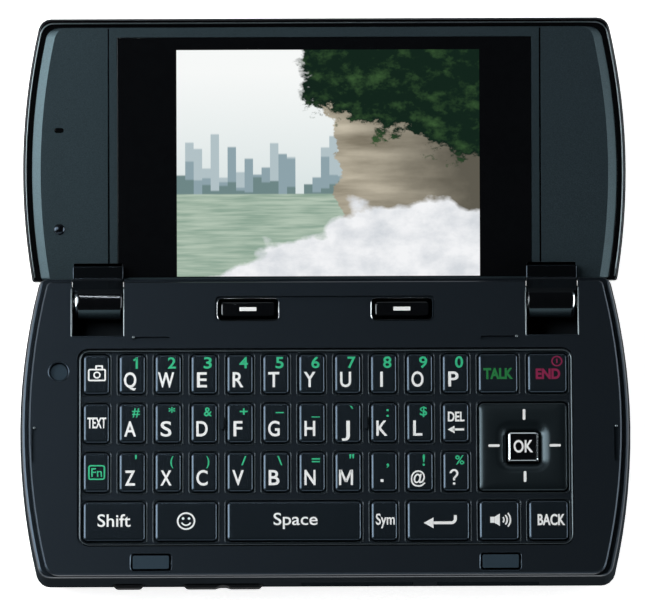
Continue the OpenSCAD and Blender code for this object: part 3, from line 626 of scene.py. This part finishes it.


# A bright bead round the rim: a painted highlight line
def makeRimHighlight():
    bow = rimHighlight["sideBow"] - rimHighlight["inset"]
    bowX = rimHighlight["halfWidth"] - rimHighlight["sideBow"]
    middle, corner = rimHighlight["bowMiddle"], rimHighlight["corner"]
    cornerY = rimHighlight["far"] - corner
    cornerX = bowX + math.sqrt((bow - corner) ** 2 - (cornerY - middle) ** 2)
    startTurn = math.asin((rimHighlight["near"] - middle) / bow)
    endTurn = math.atan2(cornerY - middle, cornerX - bowX)
    sideTurn, cornerTurn = endTurn - startTurn, math.pi / 2 - endTurn
    shape = bmesh.new()
    # The round profile stands across the right side's near end
    start = Vector((bowX + bow * math.cos(startTurn), middle + bow * math.sin(startTurn), 0)) * mm
    upright = (Matrix.Translation(start) @ Matrix.Rotation(startTurn, 4, "Z")
               @ Matrix.Rotation(math.pi / 2, 4, "X"))
    loop = tubeProfile(shape, rimHighlight["radius"] * mm, rimHighlight["sides"], upright)
    loop = sweepProfile(shape, loop, bowX, middle, sideTurn, rimHighlight["sideSteps"])
    loop = sweepProfile(shape, loop, cornerX, cornerY, cornerTurn, rimHighlight["cornerSteps"])
    lastEdges = [e for e in loop if isinstance(e, bmesh.types.BMEdge)]
    pulled = bmesh.ops.extrude_edge_only(shape, edges=lastEdges)
    bmesh.ops.translate(shape, vec=(-2 * cornerX * mm, 0, 0), verts=movedVerts(pulled))
    loop = [g for g in pulled["geom"] if not isinstance(g, bmesh.types.BMFace)]
    loop = sweepProfile(shape, loop, -cornerX, cornerY, cornerTurn, rimHighlight["cornerSteps"])
    sweepProfile(shape, loop, -bowX, middle, sideTurn, rimHighlight["sideSteps"])
    bmesh.ops.holes_fill(shape, edges=[e for e in shape.edges if e.is_boundary], sides=0)
    layOnLid(shape, rimHighlight["depth"])
    addPiece("lid_rim_highlight_bead", shape, highlightTrim, "lid")


# A dark strip sunk in each seam: painted shade of the gap
def makeSeamShades():
    half = seamShade["width"] / 2
    for name, side in bothSides:
        x = side * seamShade["x"]
        shape = boxShape(Vector((x - half, seamShade["near"], -seamShade["floor"])) * mm,
                         Vector((x + half, seamShade["far"], -seamShade["top"])) * mm)
        roundEdges(shape, shape.edges, seamShade["round"] * mm, 2)
        layOnLid(shape)
        addPiece("lid_seam_shade_" + name, shape, satinBlack, "lid")


def makeStatusLens():
    wide, tall = statusLens["half"]
    x, along = statusLens["x"], statusLens["along"]
    shape = boxShape(Vector((x - wide, along - tall, -statusLens["floor"])) * mm,
                     Vector((x + wide, along + tall, -statusLens["top"])) * mm)
    roundEdges(shape, uprightEdges(shape), statusLens["corner"] * mm, 6)
    roundEdges(shape, topFace(shape).edges, statusLens["round"] * mm, 3)
    layOnLid(shape)
    addPiece("lid_status_lens", shape, pianoBlack, "lid", weighted=True)


def makeStopNub():
    shape = bmesh.new()
    middle = Vector((stopNub["x"], stopNub["along"], stopNub["rise"] - stopNub["radius"])) * mm
    bmesh.ops.create_uvsphere(shape, u_segments=28, v_segments=20, radius=stopNub["radius"] * mm,
                              matrix=Matrix.Translation(middle))
    everything = shape.verts[:] + shape.edges[:] + shape.faces[:]
    bmesh.ops.bisect_plane(shape, geom=everything, plane_co=(0, 0, -stopNub["cut"] * mm), plane_no=(0, 0, 1),
                           clear_inner=True)
    bmesh.ops.holes_fill(shape, edges=[e for e in shape.edges if e.is_boundary], sides=0)
    layOnLid(shape)
    addPiece("lid_stop_nub", shape, satinBlack, "lid")


makeRimHighlight()
makeSeamShades()
makeStatusLens()
makeStopNub()
print("lid trim made")

# Printed legends: text and signs made as thin ink films on the keys
inkFilm = {"thickness": 0.02, "sink": 0.01, "stroke": 0.06, "fineStroke": 0.035}


def textOutline(text):
    # The built-in sans at size 1, as a curve and its points
    writing = bpy.data.curves.new("legend_text", "FONT")
    writing.body = text
    writing.resolution_u = 5
    holder = linkObject("legend_text", writing)
    bpy.context.view_layer.update()
    outline = holder.to_curve(bpy.context.evaluated_depsgraph_get()).copy()
    bpy.data.objects.remove(holder)
    bpy.data.curves.remove(writing)
    return outline, [point.co.copy() for spline in outline.splines for point in spline.bezier_points]


# Height of the font's capitals
capOutline, capPoints = textOutline("H")
capUnit = max(point.y for point in capPoints)
bpy.data.curves.remove(capOutline)


def textShape(text, capHeight, width, stroke):
    # Text in mm: squeezed to its width first, then thickened evenly by the stroke
    outline, points = textOutline(text)
    left, right = min(point.x for point in points), max(point.x for point in points)
    tall = (capHeight - 2 * stroke) / capUnit
    wide = (width - 2 * stroke) / (right - left) if width else tall
    centred = Matrix.Translation((-(right + left) / 2, -capUnit / 2, 0))
    outline.transform(Matrix.Diagonal((wide, tall, 1, 1)) @ centred)
    outline.dimensions = "2D"
    outline.fill_mode = "BOTH"
    outline.offset = stroke
    holder = linkObject("legend_outline", outline)
    bpy.context.view_layer.update()
    mesh = bpy.data.meshes.new_from_object(holder.evaluated_get(bpy.context.evaluated_depsgraph_get()))
    bpy.data.objects.remove(holder)
    bpy.data.curves.remove(outline)
    shape = bmesh.new()
    shape.from_mesh(mesh)
    bpy.data.meshes.remove(mesh)
    bmesh.ops.scale(shape, vec=(mm, mm, 1), verts=shape.verts)
    return shape


# Strokes of the drawn signs, in mm
def bar(shape, x, y, width, height, angle=0.0):
    place = Matrix.Translation((x * mm, y * mm, 0)) @ Matrix.Rotation(math.radians(angle), 4, "Z")
    size = Matrix.Diagonal((width * mm / 2, height * mm / 2, 1, 1))
    return bmesh.ops.create_grid(shape, x_segments=1, y_segments=1, size=1.0, matrix=place @ size)["verts"]


def pill(shape, width, height, corner):
    corners = bar(shape, 0, 0, width, height)
    bmesh.ops.bevel(shape, geom=corners, offset=corner * mm, affect="VERTICES", segments=3, profile=0.5,
                    material=-1)


def horn(shape, x, y, width, height, flare):
    # A bar that opens to the right
    mouth = [v for v in bar(shape, x, y, width, height) if v.co.x > x * mm]
    bmesh.ops.scale(shape, vec=(1, flare, 1), verts=mouth)


def band(shape, x, y, radius, stroke, startAngle=0.0, sweep=360.0, steps=24):
    # A flat ring or arc: a short radial edge spun about the centre
    direction = Vector((math.cos(math.radians(startAngle)), math.sin(math.radians(startAngle)), 0))
    centre = Vector((x * mm, y * mm, 0))
    inner = shape.verts.new(centre + direction * (radius - stroke / 2) * mm)
    outer = shape.verts.new(centre + direction * (radius + stroke / 2) * mm)
    edge = shape.edges.new((inner, outer))
    bmesh.ops.spin(shape, geom=[inner, outer, edge], cent=centre, axis=(0, 0, 1), angle=math.radians(sweep),
                   steps=steps, use_merge=sweep == 360.0)


def disc(shape, x, y, radius, segments=20, angle=0.0):
    place = Matrix.Translation((x * mm, y * mm, 0)) @ Matrix.Rotation(math.radians(angle), 4, "Z")
    bmesh.ops.create_circle(shape, cap_ends=True, segments=segments, radius=radius * mm, matrix=place)


def boxOutline(shape, width, height, stroke, corner):
    # Four bars and four corner arcs
    for side in (-1, 1):
        bar(shape, 0, side * (height - stroke) / 2, width - 2 * corner, stroke)
        bar(shape, side * (width - stroke) / 2, 0, stroke, height - 2 * corner)
    for quarter, (side, up) in enumerate(((1, 1), (-1, 1), (-1, -1), (1, -1))):
        band(shape, side * (width / 2 - corner), up * (height / 2 - corner), corner - stroke / 2, stroke,
             90 * quarter, 90, 5)


def drawSign(strokes):
    shape = bmesh.new()
    for stroke, *sizes in strokes:
        stroke(shape, *sizes)
    return shape


def layInk(name, shape, ink, node, x=0.0, y=0.0, dish=None):
    # The flat film gets its thickness and goes to its place on the key
    shape.normal_update()
    for face in shape.faces:
        if face.normal.z < 0:
            face.normal_flip()
    under = shape.faces[:]
    film = bmesh.ops.extrude_face_region(shape, geom=under)
    bmesh.ops.translate(shape, vec=(0, 0, inkFilm["thickness"] * mm), verts=movedVerts(film))
    shape.normal_update()
    for face in under:
        if face.normal.z > 0:
            face.normal_flip()
    if dish:
        # The film sinks with a square dish of this half width
        halfWidth, inset, drop = dish
        for vert in shape.verts:
            inward = halfWidth * mm - max(abs(vert.co.x), abs(vert.co.y))
            vert.co.z -= drop * mm * min(1.0, max(0.0, inward / (inset * mm)))
    low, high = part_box(node)
    centre = (low + high) / 2
    place = Vector((centre.x + x * mm, centre.y + y * mm, high.z - inkFilm["sink"] * mm))
    bmesh.ops.transform(shape, matrix=Matrix.Translation(place), verts=shape.verts)
    addPiece(name, shape, ink, node, smooth=False, turnOut=False)


# Letters in white and second signs in green: key, letter, its width, sign, its width (none keeps the font's)
letterPrint = {"height": 2.95, "atHeight": 2.35, "x": -0.38, "y": -1.2,
               "signHeight": 2.2, "markHeight": 1.75, "signX": 0.7, "signY": 2.1}
letterKeys = (("q", "Q", 2.3, "1", 0.8), ("w", "W", 3.0, "2", 1.5), ("e", "E", 1.85, "3", 1.5),
              ("r", "R", 1.95, "4", 1.6), ("t", "T", 2.05, "5", 1.5), ("y", "Y", 2.1, "6", 1.5),
              ("u", "U", 2.05, "7", 1.45), ("i", "I", 0.5, "8", 1.55), ("o", "O", 2.25, "9", 1.5),
              ("p", "P", 1.9, "0", 1.5), ("a", "A", 2.15, "#", 1.45), ("s", "S", 2.0, "*", 1.2),
              ("d", "D", 2.1, "&", 1.45), ("f", "F", 1.65, "+", 1.5), ("g", "G", 2.15, "–", 1.5),
              ("h", "H", 2.0, "_", 1.5), ("j", "J", 1.5, "`", None), ("k", "K", 2.0, ":", None),
              ("l", "L", 1.7, "$", 1.35), ("z", "Z", 1.85, "'", None), ("x", "X", 2.0, "(", 0.55),
              ("c", "C", 2.1, ")", 0.55), ("v", "V", 2.1, "/", 0.95), ("b", "B", 2.0, "\\", 0.95),
              ("n", "N", 2.05, "=", 1.5), ("m", "M", 2.6, "\"", None), ("period", ".", None, ",", None),
              ("at", "@", 2.7, "!", None), ("question", "?", None, "%", 1.65))
# These are drawn: the font's M and full stop fold over when thickened, its digit one has no flag
ownLetters = {"?": ((band, 0, 0.72, 0.62, 0.38, -55, 235, 14), (bar, 0.2, -0.02, 0.38, 0.55, -35),
                    (bar, 0.02, -0.42, 0.38, 0.5), (bar, 0.02, -1.25, 0.42, 0.42)),
              "M": ((bar, -1.09, 0, 0.42, 2.95), (bar, -0.48, 0.25, 0.42, 2.4, 22),
                    (bar, 1.09, 0, 0.42, 2.95), (bar, 0.48, 0.25, 0.42, 2.4, -22)),
              ".": ((bar, 0, -0.65, 0.54, 0.54),),
              "1": ((bar, 0.15, 0, 0.4, 2.2), (bar, -0.15, 0.72, 0.75, 0.34, 38))}


def letterShape(letter, height, width, bold):
    if letter in ownLetters:
        return drawSign(ownLetters[letter])
    return textShape(letter, height, width, inkFilm["stroke" if bold else "fineStroke"])


for key, letter, letterWidth, sign, signWidth in letterKeys:
    height = letterPrint["atHeight" if letter == "@" else "height"]
    shape = letterShape(letter, height, letterWidth, letter.isalpha() and letter != "J")
    layInk("print_" + key, shape, whiteInk, "key_" + key, letterPrint["x"], letterPrint["y"])
    height = letterPrint["signHeight" if sign.isdigit() or signWidth is None else "markHeight"]
    shape = letterShape(sign, height, signWidth, sign.isdigit())
    layInk("print_" + key + "_second", shape, greenInk, "key_" + key,
           letterPrint["signX"], letterPrint["signY"])

# Words on the other keys: key, word, capital height, width, stroke, ink, place from the key's middle
wordKeys = (("text", "TEXT", 2.1, 3.5, 0.05, whiteInk, 0.1, 0.0),
            ("delete", "DEL", 1.9, 3.1, 0.06, whiteInk, 0.1, 1.0),
            ("talk", "TALK", 2.15, 5.4, 0.1, callInk, 0.0, -0.17),
            ("end", "END", 2.05, 4.55, 0.1, endInk, 0.13, -0.25),
            ("function", "Fn", 1.7, 2.0, 0.02, greenInk, 0.1, -0.1),
            ("shift", "Shift", 2.4, 6.1, 0.03, whiteInk, 0.0, 0.1),
            ("space", "Space", 2.35, 8.15, 0.03, whiteInk, 0.25, 0.3),
            ("symbol", "Sym", 2.15, 3.5, 0.04, whiteInk, 0.2, 0.2),
            ("back", "BACK", 2.15, 5.05, 0.07, whiteInk, 0.5, 0.0))
for key, word, height, width, stroke, ink, x, y in wordKeys:
    layInk("print_" + key, textShape(word, height, width, stroke), ink, "key_" + key, x, y)

okPrint = {"height": 2.4, "width": 3.55}
okLow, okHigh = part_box("key_ok")
okHalf = (okHigh.x - okLow.x) / (2 * mm) - okKey["cutWidth"]
okShape = textShape("OK", okPrint["height"], okPrint["width"], inkFilm["stroke"])
layInk("print_ok", okShape, whiteInk, "key_ok", dish=(okHalf, okKey["dishInset"], okKey["dishDrop"]))

# Drawn signs: name, key, ink, place from the key's middle, strokes
upMark, sideMark, softMark = (pill, 0.5, 2.1, 0.18), (pill, 2.1, 0.5, 0.18), (bar, 0, 0, 3.15, 0.75)
drawnSigns = (
    ("camera", "camera", whiteInk, 0.13, -0.2,
     ((boxOutline, 3.35, 2.4, 0.3, 0.35), (band, 0, 0, 0.55, 0.28), (bar, 0.4, 1.75, 1.43, 0.3),
      (bar, -0.17, 1.4, 0.3, 0.4), (bar, 0.97, 1.4, 0.3, 0.4))),
    ("delete_arrow", "delete", whiteInk, 0.1, -1.5,
     ((bar, 0.45, 0, 2.0, 0.42), (disc, -0.75, 0, 0.85, 3, 90))),
    ("function_box", "function", greenInk, 0.1, -0.1, ((boxOutline, 3.15, 2.9, 0.28, 0.5),)),
    ("smiley", "smiley", whiteInk, 0.0, -0.05,
     ((band, 0, 0, 1.55, 0.32, 0, 360, 36), (band, 0, 0.1, 0.9, 0.28, 205, 130, 12),
      (disc, -0.55, 0.5, 0.25), (disc, 0.55, 0.5, 0.25))),
    ("enter", "enter", whiteInk, 0.2, 0.0,
     ((bar, 0.5, -0.55, 3.3, 0.55), (band, 2.15, 0.25, 0.8, 0.55, 270, 90, 8), (bar, 2.95, 0.6, 0.55, 0.7),
      (disc, -1.7, -0.55, 1.2, 3, 90))),
    ("speaker", "speaker", whiteInk, 0.5, 0.0,
     ((bar, -1.75, 0, 0.75, 1.15), (horn, -0.85, 0, 1.0, 1.15, 2.1),
      *((band, -0.35, 0, radius, 0.3, -42, 84, 10) for radius in (0.75, 1.35, 1.95)))),
    ("end_power", "end", endInk, 1.8, 2.2, ((band, 0, 0, 0.9, 0.26), (bar, 0, 0.05, 0.26, 0.85))),
    ("dpad_rear", "dpad", whiteInk, 0.2, 6.1, (upMark,)),
    ("dpad_front", "dpad", whiteInk, 0.3, -5.9, (upMark,)),
    ("dpad_left", "dpad", whiteInk, -5.4, 0.1, (sideMark,)),
    ("dpad_right", "dpad", whiteInk, 5.9, 0.1, (sideMark,)),
    ("soft_left", "soft_left", whiteInk, 0.0, 0.0, (softMark,)),
    ("soft_right", "soft_right", whiteInk, 0.0, 0.0, (softMark,)))
for name, key, ink, x, y, strokes in drawnSigns:
    layInk("print_" + name, drawSign(strokes), ink, "key_" + key, x, y)
print("legends printed")

# Display picture: a harbour city in haze beyond the water, a wooded headland and surf in front.
# Rows of towers as seed, height gain, lowest height and colour of the haze over them
picture = {"width": 56.4, "height": 42.2, "x": 0.7, "middle": 26.2, "depth": 0.03, "thickness": 0.02,
           "brightness": 0.97, "horizon": 0.36, "shoreBlend": 0.006, "headlandEdge": 0.46,
           "towerWidth": 0.028, "towers": ((3.1, 0.34, 0.34, "#b4c4c9"), (8.6, 0.26, 0.33, "#8fa5ad"),
                                           (5.7, 0.12, 0.33, "#6f8888"))}


def harbourPicture():
    # A backlit panel: its colours come from soft steps and noise on the picture's own UV map
    material, tree = startMaterial("backlit_display_picture")
    uv = addNode(tree, "UVMap", uv_map="picture")
    axes = addNode(tree, "SeparateXYZ", (uv,))
    across, up = axes.outputs["X"], axes.outputs["Y"]
    layers = []
    # Towers with haze between their rows
    column = addNode(tree, "Math", (across, picture["towerWidth"]), operation="SNAP")
    chance = addNode(tree, "TexWhiteNoise", {"W": column}, noise_dimensions="1D")
    for seed, gain, lowest, haze in picture["towers"]:
        shifted = addNode(tree, "Math", (chance, seed), operation="ADD")
        again = addNode(tree, "TexWhiteNoise", {"W": shifted}, noise_dimensions="1D")
        tower = addNode(tree, "Math", (again, gain, lowest), operation="MULTIPLY_ADD")
        above = addNode(tree, "Math", (tower, up), operation="SUBTRACT")
        mask = addNode(tree, "MapRange", (above, -0.004, 0.004))
        layers.append((mask, haze))
    # Water with long ripples
    flat = addNode(tree, "Mapping", {"Vector": uv, "Scale": (6.0, 60.0, 1.0)})
    ripples = addNode(tree, "TexNoise", {"Vector": flat, "Scale": 1.0, "Detail": 3.0})
    swell = addNode(tree, "MapRange", (ripples, 0.35, 0.65))
    water = addNode(tree, "Mix", {0: swell, 6: "#8fa897", 7: "#b4c6b5"}, data_type="RGBA")
    shore = addNode(tree, "MapRange", (up, picture["horizon"] + picture["shoreBlend"], picture["horizon"]))
    layers.append((shore, water))
    # Headland: leans out to the left as it rises, with layers in its rock
    ragged = addNode(tree, "TexNoise", {"Vector": uv, "Scale": 7.0, "Detail": 6.0, "Roughness": 0.6})
    lean = addNode(tree, "Math", (up, -0.12, picture["headlandEdge"]), operation="MULTIPLY_ADD")
    edge = addNode(tree, "Math", (ragged, 0.24, lean), operation="MULTIPLY_ADD")
    inland = addNode(tree, "Math", (across, edge), operation="SUBTRACT")
    tilted = addNode(tree, "Mapping",
                     {"Vector": uv, "Rotation": (0, 0, 0.25), "Scale": (3.0, 14.0, 1.0)})
    bedding = addNode(tree, "TexNoise", {"Vector": tilted, "Scale": 1.0, "Detail": 6.0})
    strata = addNode(tree, "MapRange", (bedding, 0.3, 0.7))
    rock = addNode(tree, "Mix", {0: strata, 6: "#857d6c", 7: "#cbc2ae"}, data_type="RGBA")
    shade = addNode(tree, "MapRange", (inland, 0.05, 0.42))
    rock = addNode(tree, "Mix", {0: shade, 6: rock, 7: "#5f5b50"}, data_type="RGBA")
    mask = addNode(tree, "MapRange", (inland, -0.003, 0.006))
    layers.append((mask, rock))
    # A dark wood on top of it
    leaves = addNode(tree, "TexNoise", {"Vector": uv, "Scale": 11.0, "Detail": 8.0, "Roughness": 0.65})
    overhang = addNode(tree, "Math", (leaves, 0.5, up), operation="MULTIPLY_ADD")
    inner = addNode(tree, "Math", (across, 0.45, overhang), operation="MULTIPLY_ADD")
    wood = addNode(tree, "MapRange", (inner, 1.19, 1.22))
    glint = addNode(tree, "MapRange", (leaves, 0.5, 0.8))
    trees = addNode(tree, "Mix", {0: glint, 6: "#10241a", 7: "#45693c"}, data_type="RGBA")
    crown = addNode(tree, "MapRange", (inland, -0.07, -0.05))
    mask = addNode(tree, "Math", (wood, crown), operation="MULTIPLY")
    layers.append((mask, trees))
    # Surf that rolls in along the foot of the headland
    billows = addNode(tree, "TexNoise", {"Vector": uv, "Scale": 4.0, "Detail": 5.0})
    crest = addNode(tree, "Math", (billows, 0.4, 0.1), operation="MULTIPLY_ADD")
    below = addNode(tree, "Math", (crest, up), operation="SUBTRACT")
    front = addNode(tree, "Math", (across, 0.55, below), operation="MULTIPLY_ADD")
    surf = addNode(tree, "MapRange", (front, 0.33, 0.36))
    foot = addNode(tree, "MapRange", (below, -0.03, 0.0))
    mask = addNode(tree, "Math", (surf, foot), operation="MULTIPLY")
    froth = addNode(tree, "MapRange", (ragged, 0.3, 0.6))
    foam = addNode(tree, "Mix", {0: froth, 6: "#cfd4da", 7: "#f6f7f9"}, data_type="RGBA")
    layers.append((mask, foam))
    # Sky, whiter towards the top, and the layers over it from far to near
    rise = addNode(tree, "MapRange", (up, 0.3, 0.9))
    colour = addNode(tree, "Mix", {0: rise, 6: "#d9e4e4", 7: "#fafcfb"}, data_type="RGBA")
    for mask, paint in layers:
        colour = addNode(tree, "Mix", {0: mask, 6: colour, 7: paint}, data_type="RGBA")
    light = addNode(tree, "BsdfPrincipled",
                    {"Base Color": "#050505", "Roughness": 0.12, "Emission Color": colour,
                     "Emission Strength": picture["brightness"]})
    addNode(tree, "OutputMaterial", {"Surface": light})
    return material


def makePicture():
    shape = bmesh.new()
    shape.loops.layers.uv.new("picture")
    place = lidMatrix(picture["x"] * mm, picture["middle"] * mm, picture["depth"] * mm)
    size = Matrix.Diagonal((picture["width"] * mm / 2, picture["height"] * mm / 2, 1, 1))
    bmesh.ops.create_grid(shape, x_segments=1, y_segments=1, size=1.0, matrix=place @ size, calc_uvs=True)
    sheet = bmesh.ops.extrude_face_region(shape, geom=shape.faces[:])
    bmesh.ops.translate(shape, vec=lidOut * picture["thickness"] * mm, verts=movedVerts(sheet))
    addPiece("display_picture", shape, harbourPicture(), "lid", smooth=False)


makePicture()
print("display picture made")

# Camera at the photograph's angle, far off and with a long lens
view = {"elevation": 72.27, "distance": 2500.0, "target": (0.0, -2.0, 0.0), "lens": 748.2, "sensor": 36.0,
        "clipEnd": 20.0, "right": -0.25, "up": 2.47, "roll": -0.2}


def makeCamera():
    data = bpy.data.cameras.new("camera")
    data.sensor_fit = "HORIZONTAL"
    data.sensor_width = view["sensor"]
    data.lens = view["lens"]
    data.clip_end = view["clipEnd"]
    camera = linkObject("camera", data)
    tip = math.radians(view["elevation"])
    away = Vector((0, -math.cos(tip), math.sin(tip)))
    upward = Vector((0, math.sin(tip), math.cos(tip)))
    target = hingePoint + Vector(view["target"]) * mm
    camera.location = (target + away * view["distance"] * mm + upward * view["up"] * mm
                       + Vector((view["right"] * mm, 0, 0)))
    lean = Matrix.Rotation(math.radians(view["roll"]), 4, "Z")
    camera.rotation_euler = (Matrix.Rotation(math.pi / 2 - tip, 4, "X") @ lean).to_euler()
    bpy.context.scene.camera = camera


makeCamera()

# Studio: a near soft light at the upper left, low ones at the other sides, a thin strip for the barrels
lamps = {
    "left_key": {"place": (-0.26, 0.09, 0.25), "size": (0.22, 0.3), "power": 1.0},
    "left_edge": {"place": (-0.45, 0.05, 0.15), "size": (0.3, 0.25), "power": 1.4},
    "right_edge": {"place": (0.46, 0.03, 0.095), "size": (0.5, 0.14), "power": 1.7},
    "front_low": {"place": (0.0, -0.55, 0.16), "size": (0.7, 0.26), "power": 0.65},
    "rear_low": {"place": (0.0, 0.60, 0.14), "size": (0.7, 0.15), "power": 0.3},
    "hinge_strip": {"place": (-0.0554, 0.463, 0.678), "size": (0.0036, 0.334), "power": 0.13}}


def makeLamp(name, lamp):
    data = bpy.data.lights.new(name, "AREA")
    data.shape = "RECTANGLE"
    data.size, data.size_y = lamp["size"]
    data.energy = lamp["power"]
    light = linkObject(name, data)
    light.location = lamp["place"]
    aim = hingePoint - Vector(lamp["place"])
    light.rotation_euler = aim.to_track_quat("-Z", "Y").to_euler()


for lampName, lampSettings in lamps.items():
    makeLamp(lampName, lampSettings)


def makeWorld():
    # Pale towards the horizon, dark overhead, so that gloss black stays black from above
    world = bpy.data.worlds.new("studio")
    world.use_nodes = True
    tree = world.node_tree
    tree.nodes.clear()
    direction = addNode(tree, "TexCoord").outputs["Generated"]
    height = addNode(tree, "SeparateXYZ", (direction,)).outputs["Z"]
    rise = addNode(tree, "MapRange", (height, 0.05, 0.7),
                   interpolation_type="SMOOTHSTEP")
    colour = addNode(tree, "Mix", {0: rise, 6: "#6d757b", 7: "#0d0f11"}, data_type="RGBA")
    # White below the floor, which hides it from above
    sink = addNode(tree, "MapRange", (height, -0.1, -0.4))
    colour = addNode(tree, "Mix", {0: sink, 6: colour, 7: "#f2f4f5"}, data_type="RGBA")
    glow = addNode(tree, "Background", {"Color": colour, "Strength": 1.0})
    addNode(tree, "OutputWorld", {"Surface": glow})
    bpy.context.scene.world = world


makeWorld()

# Floor sheet in m, its opening and its gap below the casing in mm
floorSheet = {"half": 6.0, "gap": 0.15, "openWidth": 98.0, "openDepth": 49.5, "lift": 0.8}


def whitePaper():
    # Pale paper, lifted to white for the camera and in reflections, which keeps the shadow
    material, tree = startMaterial("white_paper_sweep")
    coords = addNode(tree, "TexCoord").outputs["Object"]
    fibres = addNode(tree, "TexNoise", {"Vector": coords, "Scale": 900.0, "Detail": 2.0})
    colour = addNode(tree, "Mix", {0: fibres, 6: "#efefef", 7: "#f6f6f6"}, data_type="RGBA")
    paper = addNode(tree, "BsdfDiffuse", {"Color": colour})
    path = addNode(tree, "LightPath").outputs
    seen = path["Is Camera Ray"]
    for ray in ("Is Glossy Ray", "Is Transmission Ray"):
        seen = addNode(tree, "Math", (seen, path[ray]), operation="MAXIMUM")
    share = addNode(tree, "Math", (seen, floorSheet["lift"]), operation="MULTIPLY")
    lift = addNode(tree, "Emission", {"Color": "#ffffff", "Strength": share})
    both = addNode(tree, "AddShader", (paper, lift))
    # From below it is clear, so that the underside can be seen
    below = addNode(tree, "NewGeometry").outputs["Backfacing"]
    clear = addNode(tree, "BsdfTransparent")
    surface = addNode(tree, "MixShader", (below, both, clear))
    addNode(tree, "OutputMaterial", {"Surface": surface})
    return material


def makeFloor():
    shape = bmesh.new()
    bmesh.ops.create_grid(shape, x_segments=1, y_segments=1, size=floorSheet["half"],
                          matrix=Matrix.Translation((0, 0, -floorSheet["gap"] * mm)))
    # An opening, hidden under the casing, lets light reach the underside: a unit square, scaled
    opening = shape.faces[:]
    bmesh.ops.inset_individual(shape, faces=opening, thickness=floorSheet["half"] - 0.5,
                               use_even_offset=True)
    bmesh.ops.scale(shape, vec=(floorSheet["openWidth"] * mm, floorSheet["openDepth"] * mm, 1),
                    verts=opening[0].verts)
    bmesh.ops.delete(shape, geom=opening, context="FACES_ONLY")
    mesh = bpy.data.meshes.new("floor")
    shape.to_mesh(mesh)
    shape.free()
    mesh.materials.append(whitePaper())
    linkObject("floor", mesh)


makeFloor()
bpy.context.scene.view_settings.view_transform = "Standard"
print("camera, lamps and floor set")
